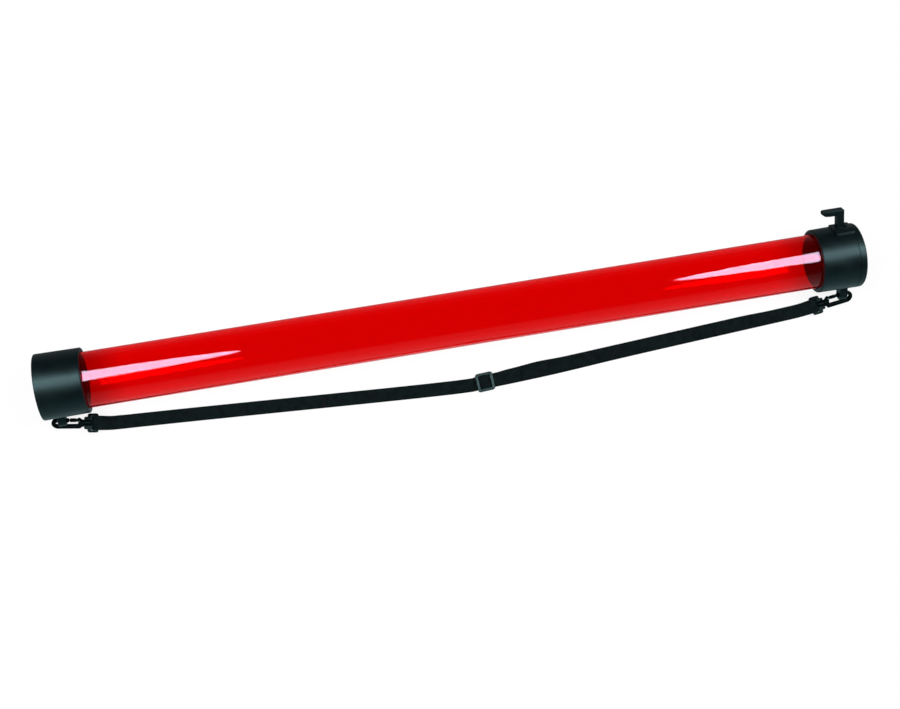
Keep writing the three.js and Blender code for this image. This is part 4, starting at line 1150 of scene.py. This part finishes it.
def eye_fold(side, size):
    """Webbing from the upper layer round an eye's bar to the lower one, as rows of a point and a side.

    It bends in plan to meet its run: at a share u of the fold's length L, y = d u^2.
    """
    place = EYES[side]
    first = layer(size, 1) - place.origin[2]
    last = layer(size, 0) - place.origin[2]
    wrap = (math.hypot(EYE_BAR, EYE_THICKNESS) + LAYER_GAP + size["webbing_thickness"]) / 2
    t = np.linspace(0, 1, 17)
    x = BAR - (1 - t) * FOLD_CONVERGE
    into = np.column_stack([x, first + (wrap - first) * smooth_step(t)])
    out = np.column_stack([x, last + (-wrap - last) * smooth_step(t)])[::-1]
    turn = arc(0, 0, wrap, 90, -90, 18)[1:-1] * [FOLD_STRETCH_SHARE, 1] + [BAR, 0]
    line = np.concatenate([[(BAR - FOLD, first)], into, turn, out, [(BAR - FOLD, last)]])
    share = np.clip(BAR - line[:, 0], 0, None) / FOLD
    lean = np.arctan(2 * DRIFTS[side] * share / FOLD)
    points = place.points(np.column_stack([line[:, 0], DRIFTS[side] * share ** 2, line[:, 1]]))
    return np.column_stack([points, place.direction(np.stack([np.sin(lean), np.cos(lean), 0 * lean], 1))])


def left_run():
    """Left run in plan: a cubic from the fold at the left eye to the buckle, with a sag of t (1 - t)."""
    start = LEFT_RUN_START
    end = BUCKLE.points((LEFT_ARRIVAL, 0, 0))[:2]
    t = np.linspace(0, 1, 90)[:, None]
    chord = np.linalg.norm(end - start)
    leaving = LEFT_RUN_AXIS * chord
    arriving = BUCKLE.axes[0][:2] * chord * LEFT_ARRIVAL_SHARE
    return (start + (end - start) * smooth_step(t) + leaving * t * (1 - t) ** 2
            - arriving * t ** 2 * (1 - t) + t * (1 - t) * (0, LEFT_SAG))


def beside(path):
    """Rows of a point and its side, for a path that lies flat: the side is the tangent turned left."""
    tangent = np.gradient(path, axis=0)
    side = np.column_stack([-tangent[:, 1], tangent[:, 0], np.zeros(len(path))])
    return np.column_stack([path, unit(side)])


def stitch_rows(places, direction, side, up, size):
    """Stitches: one low arched thread from hole to hole, repeated at every place."""
    thread_radius = 0.34
    rows, columns = 7, 6
    t = np.linspace(-0.5, 0.5, rows)[:, None, None]
    a = np.linspace(0, 2 * math.pi, columns, endpoint=False)[None, :, None]
    arch = t * size["stitch_length"] * 0.86 * direction + (0.42 * (1 - (2 * t) ** 4) - 0.2) * up
    one = (arch + (np.cos(a) * side + np.sin(a) * up) * thread_radius).reshape(-1, 3)
    points = (places[:, None] + one[None]).reshape(-1, 3)
    faces = [[k + rows * columns * i for k in face] for i in range(len(places))
             for face in capped(rows, columns)]
    return points, faces


class PICKUPTUBE_OT_webbing(bpy.types.Operator):
    """Webbing: ribbons along the strap's run, its turns round the bars and its loop in the buckle"""
    bl_idname = "pickup_tube.webbing"
    bl_label = "Webbing"

    def execute(self, context):
        size = sizes()
        self.left(size)
        self.right(size)
        self.upper(size)
        self.loop(size)
        return {"FINISHED"}

    def left(self, size):
        """From the sewn end round the left bar and along the left run to the buckle."""
        fold = eye_fold("left", size)
        fold[:, 3:] *= -1
        plan = left_run()
        low = layer(size, 0)
        under = BUCKLE.points([(UNDER_BUCKLE, 0, low), (0, 0, low)])
        run = np.concatenate([np.column_stack([plan, np.full(len(plan), low)]), under])
        rows = resampled(np.concatenate([fold, beside(run)]), POINT_SPACING)
        path, side = rows[:, :3], rows[:, 3:]
        mesh = ribbon("webbing_left_run", path, side, size, -distances(path)[-1])
        nodes = ["webbing_lower", "webbing_end_left"]
        obj = piece("webbing_left_run", mesh, "webbing", nodes=nodes, sharp=60)
        self.swivelled(obj, "left")
        self.fold_stitches(size)

    def fold_stitches(self, size):
        """The sewn box that closes the left fold, leaning with the fold's bend in plan."""
        place = EYES["left"]
        share = 0.75
        lean = math.atan(2 * DRIFTS["left"] * share / FOLD)
        middle = place.points((BAR - SEWN_FOLD_SHARE * FOLD, DRIFTS["left"] * share ** 2, -place.origin[2]))
        along = place.direction((math.cos(lean), -math.sin(lean), 0))
        across = place.direction((math.sin(lean), math.cos(lean), 0))
        box = Place(middle, along, across, place.axes[2])
        obj = self.stitches("stitching_fold_left", box, SEWN_FOLD, 1, size)
        self.swivelled(obj, "left")

    def right(self, size):
        """From the buckle along the surface, round the right bar and back over itself."""
        x = np.linspace(0, RIGHT_RUN_LENGTH, 120)
        drift = swell(x, -1.3, 95, 75) * smooth_step(x / 30)
        near = BUCKLE.points(np.column_stack([x, drift, np.full(len(x), layer(size, 0))]))
        far = BUCKLE.points([(end, 0, layer(size, 1)) for end in (RIGHT_RUN_LENGTH, SECOND_END)])
        rows = np.concatenate([beside(near), eye_fold("right", size)[::-1],
                               np.column_stack([far, np.tile(BUCKLE.axes[1], (2, 1))])])
        rows = resampled(rows, POINT_SPACING)
        mesh = ribbon("webbing_right_run", rows[:, :3], rows[:, 3:], size)
        obj = piece("webbing_right_run", mesh, "webbing", nodes=["webbing_end_right"], sharp=60)
        self.swivelled(obj, "right")

    def upper(self, size):
        """Second layer from the buckle's loop to the right."""
        x = np.linspace(SECOND_END, SECOND_START, 206)
        drift = (1.1 + swell(x, 1.4, 78, 24)) * smooth_step((x - SECOND_START) / 22)
        drift *= smooth_step((SECOND_END - x) / 50)
        path = BUCKLE.points(np.column_stack([x, drift, np.full(len(x), layer(size, 1))]))
        start = 2 * (RIGHT_RUN_LENGTH + FOLD) - SECOND_END
        mesh = ribbon("webbing_second_layer", path, BUCKLE.axes[1], size, start)
        obj = piece("webbing_second_layer", mesh, "webbing", "strap", ["webbing_upper"], sharp=60)
        anchor = BUCKLE.points((SECOND_END, 0, layer(size, 1))) * MM
        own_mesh(obj)

    def loop(self, size):
        """Loop over the buckle's middle bar, with its sewn tail."""
        low = layer(size, 2)
        t = np.linspace(0, 1, 13)
        start, end = LOOP_CLIMB
        climb = np.column_stack([start + (end - start) * t, low + (LOOP_TOP - low) * smooth_step(t)])
        line = np.concatenate([[(LOOP_REACH, low)], climb, (climb * [-1, 1])[::-1], [(LOOP_TAIL, low)]])
        line = resampled(np.column_stack([line[:, 0], 0 * line[:, 0], line[:, 1]]), 1)
        mesh = ribbon("webbing_loop", BUCKLE.points(line), BUCKLE.axes[1], size)
        piece("webbing_loop", mesh, "webbing", "slider", ["buckle_loop"], sharp=60)
        self.stitches("stitching_loop", BUCKLE, SEWN_TAIL, 2, size, "slider")

    def stitches(self, name, place, ends, number, size, body=None):
        """A sewn box on a layer, with one line across each end, of evenly spaced stitches."""
        step = size["stitch_length"]
        x0, x1 = ends
        height = layer(size, number) + size["webbing_thickness"] / 2
        half = size["webbing_width"] / 2 - STITCH_INSET
        along = np.arange(x0, x1 + 0.1, step)
        cross = np.arange(-half + step, half - step + 0.1, step)
        rows = place.points([(x, s * half, height) for s in (-1, 1) for x in along])
        lines = place.points([(x, y, height) for x in (x0 - step / 2, x1 + step / 2) for y in cross])
        x, y, up = place.axes
        solid = merged(stitch_rows(rows, x, y, up, size), stitch_rows(lines, y, -x, up, size))
        return piece(name, mesh_of(name, *solid), "thread", body, weighted=False)

    def swivelled(self, obj, side):
        """Bakes a ribbon's place into its mesh; the ends of its twist by the eye are worked out but not used.
        """
        start, end = EYES[side].points([(x, 0, 0) for x in TWIST]) * MM
        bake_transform(obj)


class PICKUPTUBE_OT_pins(bpy.types.Operator):
    """Steel pins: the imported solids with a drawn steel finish"""
    bl_idname = "pickup_tube.pins"
    bl_label = "Steel pins"

    def execute(self, context):
        for name in ("lever_pivot_pin", "gate_pin_left", "gate_pin_right"):
            node = frame["nodes"][name]
            node.data.materials.clear()
            node.data.materials.append(finish("steel")[1])
        return {"FINISHED"}


# Stage, in metres

FLOOR_HALF = 4.0
FLOOR_HEIGHT = -0.0002
# Y on the floor, and Y of a direction in the surroundings, where a mirror image turns from bright to dark
FLOOR_MIRROR = (-0.08, 0.06)
WORLD_MIRROR = (-0.6, 0.0)
LAMP_HEIGHT = 2.0
SOFT_BOX_Y = 0.12
SOFT_BOX_SIZE = (1.5, 0.7)
STREAK_Y = 0.26
STREAK_SIZE = (1.7, 1.5)
STREAK_COLOUR = (1.0, 0.83, 1.18)
FOCAL_LENGTH = 59.283
CAMERA_SHIFT = (-0.0005, 0.00033)
CAMERA_PLACE = (-0.2102585, -0.3330501, 2.0378297)
CAMERA_RIGHT = (0.982228, -0.175103, 0.067578)
CAMERA_UP = (0.162160, 0.973003, 0.164224)


def white_to_lens(tree, path):
    """1 for camera, glossy and transmission rays, and 0 for the rays that light the object."""
    first = add_node(tree, "Math", {"operation": "MAXIMUM"},
                     {0: path.outputs["Is Camera Ray"], 1: path.outputs["Is Glossy Ray"]})
    return add_node(tree, "Math", {"operation": "MAXIMUM"},
                    {0: first, 1: path.outputs["Is Transmission Ray"]})


def white_or_mirrored(tree, path, value, ends, bright):
    """White to the lens and through the tube; in a mirror image a cool grey that darkens with a value."""
    share = add_node(tree, "MapRange", {"From Min": ends[0], "From Max": ends[1],
                                        "interpolation_type": "SMOOTHSTEP"}, {"Value": value})
    cool = np.array((0.55, 0.96, 1.0))
    dark = 0.08
    shade = add_node(tree, "Mix", {"data_type": "RGBA", "A": (*(cool * bright), 1), "B": (*(cool * dark), 1)},
                     {"Factor": share})
    straight = add_node(tree, "Math", {"operation": "SUBTRACT", 0: 1.0},
                        {1: path.outputs["Is Transmission Ray"]})
    mirrored = add_node(tree, "Math", {"operation": "MULTIPLY"},
                        {0: path.outputs["Is Glossy Ray"], 1: straight})
    mixed = add_node(tree, "Mix", {"data_type": "RGBA", "A": (1, 1, 1, 1)},
                     {"Factor": mirrored, "B": shade.outputs["Result"]})
    return mixed.outputs["Result"]


class PICKUPTUBE_OT_stage(bpy.types.Operator):
    """Pale floor, soft studio lights, white surroundings and the camera"""
    bl_idname = "pickup_tube.stage"
    bl_label = "Stage, lights and camera"

    def execute(self, context):
        self.floor()
        self.surroundings(context.scene)
        self.lights(context.scene)
        self.camera(context.scene)
        context.scene.view_settings.view_transform = "Standard"
        return {"FINISHED"}

    def floor(self):
        """A flat square, white to the lens, that keeps the object's soft shadow."""
        signs = [(-1, -1), (1, -1), (1, 1), (-1, 1)]
        corners = np.array([(x * FLOOR_HALF, y * FLOOR_HALF, FLOOR_HEIGHT) for x, y in signs])
        mesh = mesh_of("floor", corners / MM, [[0, 1, 2, 3]])
        material, tree = new_material("pale_floor")
        path = add_node(tree, "LightPath")
        split = add_node(tree, "SeparateXYZ", {}, {"Vector": add_node(tree, "TexCoord").outputs["Object"]})
        # In a mirror image the floor is bright in front of the tube and darkens behind it.
        white = white_or_mirrored(tree, path, split.outputs["Y"], FLOOR_MIRROR, 0.62)
        lighting = add_node(tree, "BsdfDiffuse", {"Color": (*colours()["floor"], 1)})
        shadowed = add_node(tree, "BsdfDiffuse", {"Color": (0.16, 0.16, 0.16, 1)})
        glow = add_node(tree, "Emission", {"Strength": 0.87}, {"Color": white})
        shown = add_node(tree, "AddShader", {}, {0: shadowed, 1: glow})
        both = add_node(tree, "MixShader", {}, {0: white_to_lens(tree, path), 1: lighting, 2: shown})
        add_node(tree, "OutputMaterial", {}, {"Surface": both})
        mesh.materials.append(material)
        obj = bpy.data.objects.new("floor", mesh)
        bpy.context.scene.collection.objects.link(obj)

    def surroundings(self, scene):
        """White round the horizon and a dim ceiling for what the lens sees, and an even grey fill."""
        world = bpy.data.worlds.new("studio")
        world.use_nodes = True
        tree = world.node_tree
        tree.nodes.clear()
        split = add_node(tree, "SeparateXYZ", {}, {"Vector": add_node(tree, "TexCoord").outputs["Generated"]})
        rise = add_node(tree, "MapRange", {"From Min": 0.22, "From Max": 0.5, "To Min": 1.0, "To Max": 0.03,
                                           "interpolation_type": "SMOOTHSTEP"}, {"Value": split.outputs["Z"]})
        path = add_node(tree, "LightPath")
        # In a mirror image the studio is dark behind the tube and half as bright in front of it.
        white = white_or_mirrored(tree, path, split.outputs["Y"], WORLD_MIRROR, 0.55)
        seen = add_node(tree, "Background", {}, {"Color": white, "Strength": rise})
        fill = add_node(tree, "Background", {"Color": (1, 1, 1, 1), "Strength": 0.5})
        mixed = add_node(tree, "MixShader", {}, {0: white_to_lens(tree, path), 1: fill, 2: seen})
        add_node(tree, "OutputWorld", {}, {"Surface": mixed})
        scene.world = world

    def lights(self, scene):
        """Two soft boxes and two gloss lamps light all but the tube, and two oval lamps streak the tube."""
        tube = bpy.data.objects["clear_tube"]
        # Light that the floor sends up passes the tube as if it weren't there: no red glow on the floor.
        tube.visible_diffuse = False
        only_tube = bpy.data.collections.new("tube_only")
        only_tube.objects.link(tube)
        rest = bpy.data.collections.new("all_but_tube")
        for obj in scene.objects:
            if obj.type == "MESH" and obj is not tube:
                rest.objects.link(obj)
        for side, x in (("left", -1.1), ("right", 1.5)):
            target = (x * 0.3, 0, 0)
            for kind, watts in (("key_", 16), ("gloss_", 90)):
                obj = self.lamp(scene, kind + side, (x, SOFT_BOX_Y), target, SOFT_BOX_SIZE, watts, rest)
            # The gloss lamp shows only as a shine.
            obj.visible_diffuse = False
        for side, x, roll in (("left", -1.22, -24), ("right", 1.63, 26)):
            obj = self.lamp(scene, "streak_" + side, (x, STREAK_Y), (x, 0.1, 0), STREAK_SIZE, 315, only_tube)
            # Turned in its own plane, so that the streak's tip drops towards the tube's near side.
            obj.rotation_euler.rotate_axis("Z", math.radians(roll))
            obj.visible_diffuse = False
            obj.data.color = STREAK_COLOUR

    def lamp(self, scene, name, plan, target, size, watts, receivers):
        """An oval area lamp over a place in plan, facing a target, that lights one collection."""
        data = bpy.data.lights.new(name, "AREA")
        data.shape = "ELLIPSE"
        data.size, data.size_y = size
        data.energy = watts
        obj = bpy.data.objects.new(name, data)
        place = (*plan, LAMP_HEIGHT)
        back = unit(np.array(place) - np.array(target))
        right = unit(np.cross((0.02, 1.0, 0.03), back))
        self.stand(obj, place, right, np.cross(back, right))
        scene.collection.objects.link(obj)
        obj.light_linking.receiver_collection = receivers
        return obj

    def stand(self, obj, place, right, up):
        """Puts a lamp or camera at a place, with its right and up along two axes."""
        axes = np.column_stack([right, up, np.cross(right, up)])
        obj.matrix_world = Matrix.Translation(place) @ Matrix(axes.tolist()).to_4x4()

    def camera(self, scene):
        """Camera high above the front, with a focal length worked out from the object's known length."""
        lens = bpy.data.cameras.new("camera")
        lens.lens = FOCAL_LENGTH
        lens.sensor_width = 36
        lens.clip_end = 50
        lens.shift_x, lens.shift_y = CAMERA_SHIFT
        obj = bpy.data.objects.new("camera", lens)
        self.stand(obj, CAMERA_PLACE, CAMERA_RIGHT, CAMERA_UP)
        scene.collection.objects.link(obj)
        scene.camera = obj


class PICKUPTUBE_PT_panel(bpy.types.Panel):
    """Sizes, colours and the pieces in the order that they are made"""
    bl_idname = "PICKUPTUBE_PT_panel"
    bl_label = "Pickup tube"
    bl_space_type = "VIEW_3D"
    bl_region_type = "UI"
    bl_category = "Pickup tube"

    def draw(self, context):
        for group in (context.scene.pickup_tube_sizes, context.scene.pickup_tube_colours):
            box = self.layout.box()
            for name in group.__annotations__:
                box.prop(group, name)
        for operator in OPERATORS:
            self.layout.operator(operator.bl_idname)


OPERATORS = (
    PICKUPTUBE_OT_clear_tube,
    PICKUPTUBE_OT_collar,
    PICKUPTUBE_OT_release_cap,
    PICKUPTUBE_OT_lever,
    PICKUPTUBE_OT_retainer,
    PICKUPTUBE_OT_snap_hooks,
    PICKUPTUBE_OT_strap_eyes,
    PICKUPTUBE_OT_slide_buckle,
    PICKUPTUBE_OT_webbing,
    PICKUPTUBE_OT_pins,
    PICKUPTUBE_OT_stage,
)
CLASSES = (PickupTubeSizes, PickupTubeColours, *OPERATORS, PICKUPTUBE_PT_panel)


def register():
    """Adds the classes and the scene's two groups of settings."""
    for item in CLASSES:
        bpy.utils.register_class(item)
    bpy.types.Scene.pickup_tube_sizes = bpy.props.PointerProperty(type=PickupTubeSizes)
    bpy.types.Scene.pickup_tube_colours = bpy.props.PointerProperty(type=PickupTubeColours)


def unregister():
    """Takes them away again."""
    del bpy.types.Scene.pickup_tube_colours
    del bpy.types.Scene.pickup_tube_sizes
    for item in reversed(CLASSES):
        bpy.utils.unregister_class(item)


def main():
    """Makes every piece in order."""
    register()
    for operator in OPERATORS:
        group, name = operator.bl_idname.split(".")
        getattr(getattr(bpy.ops, group), name)()


if __name__ == "__main__":
    main()
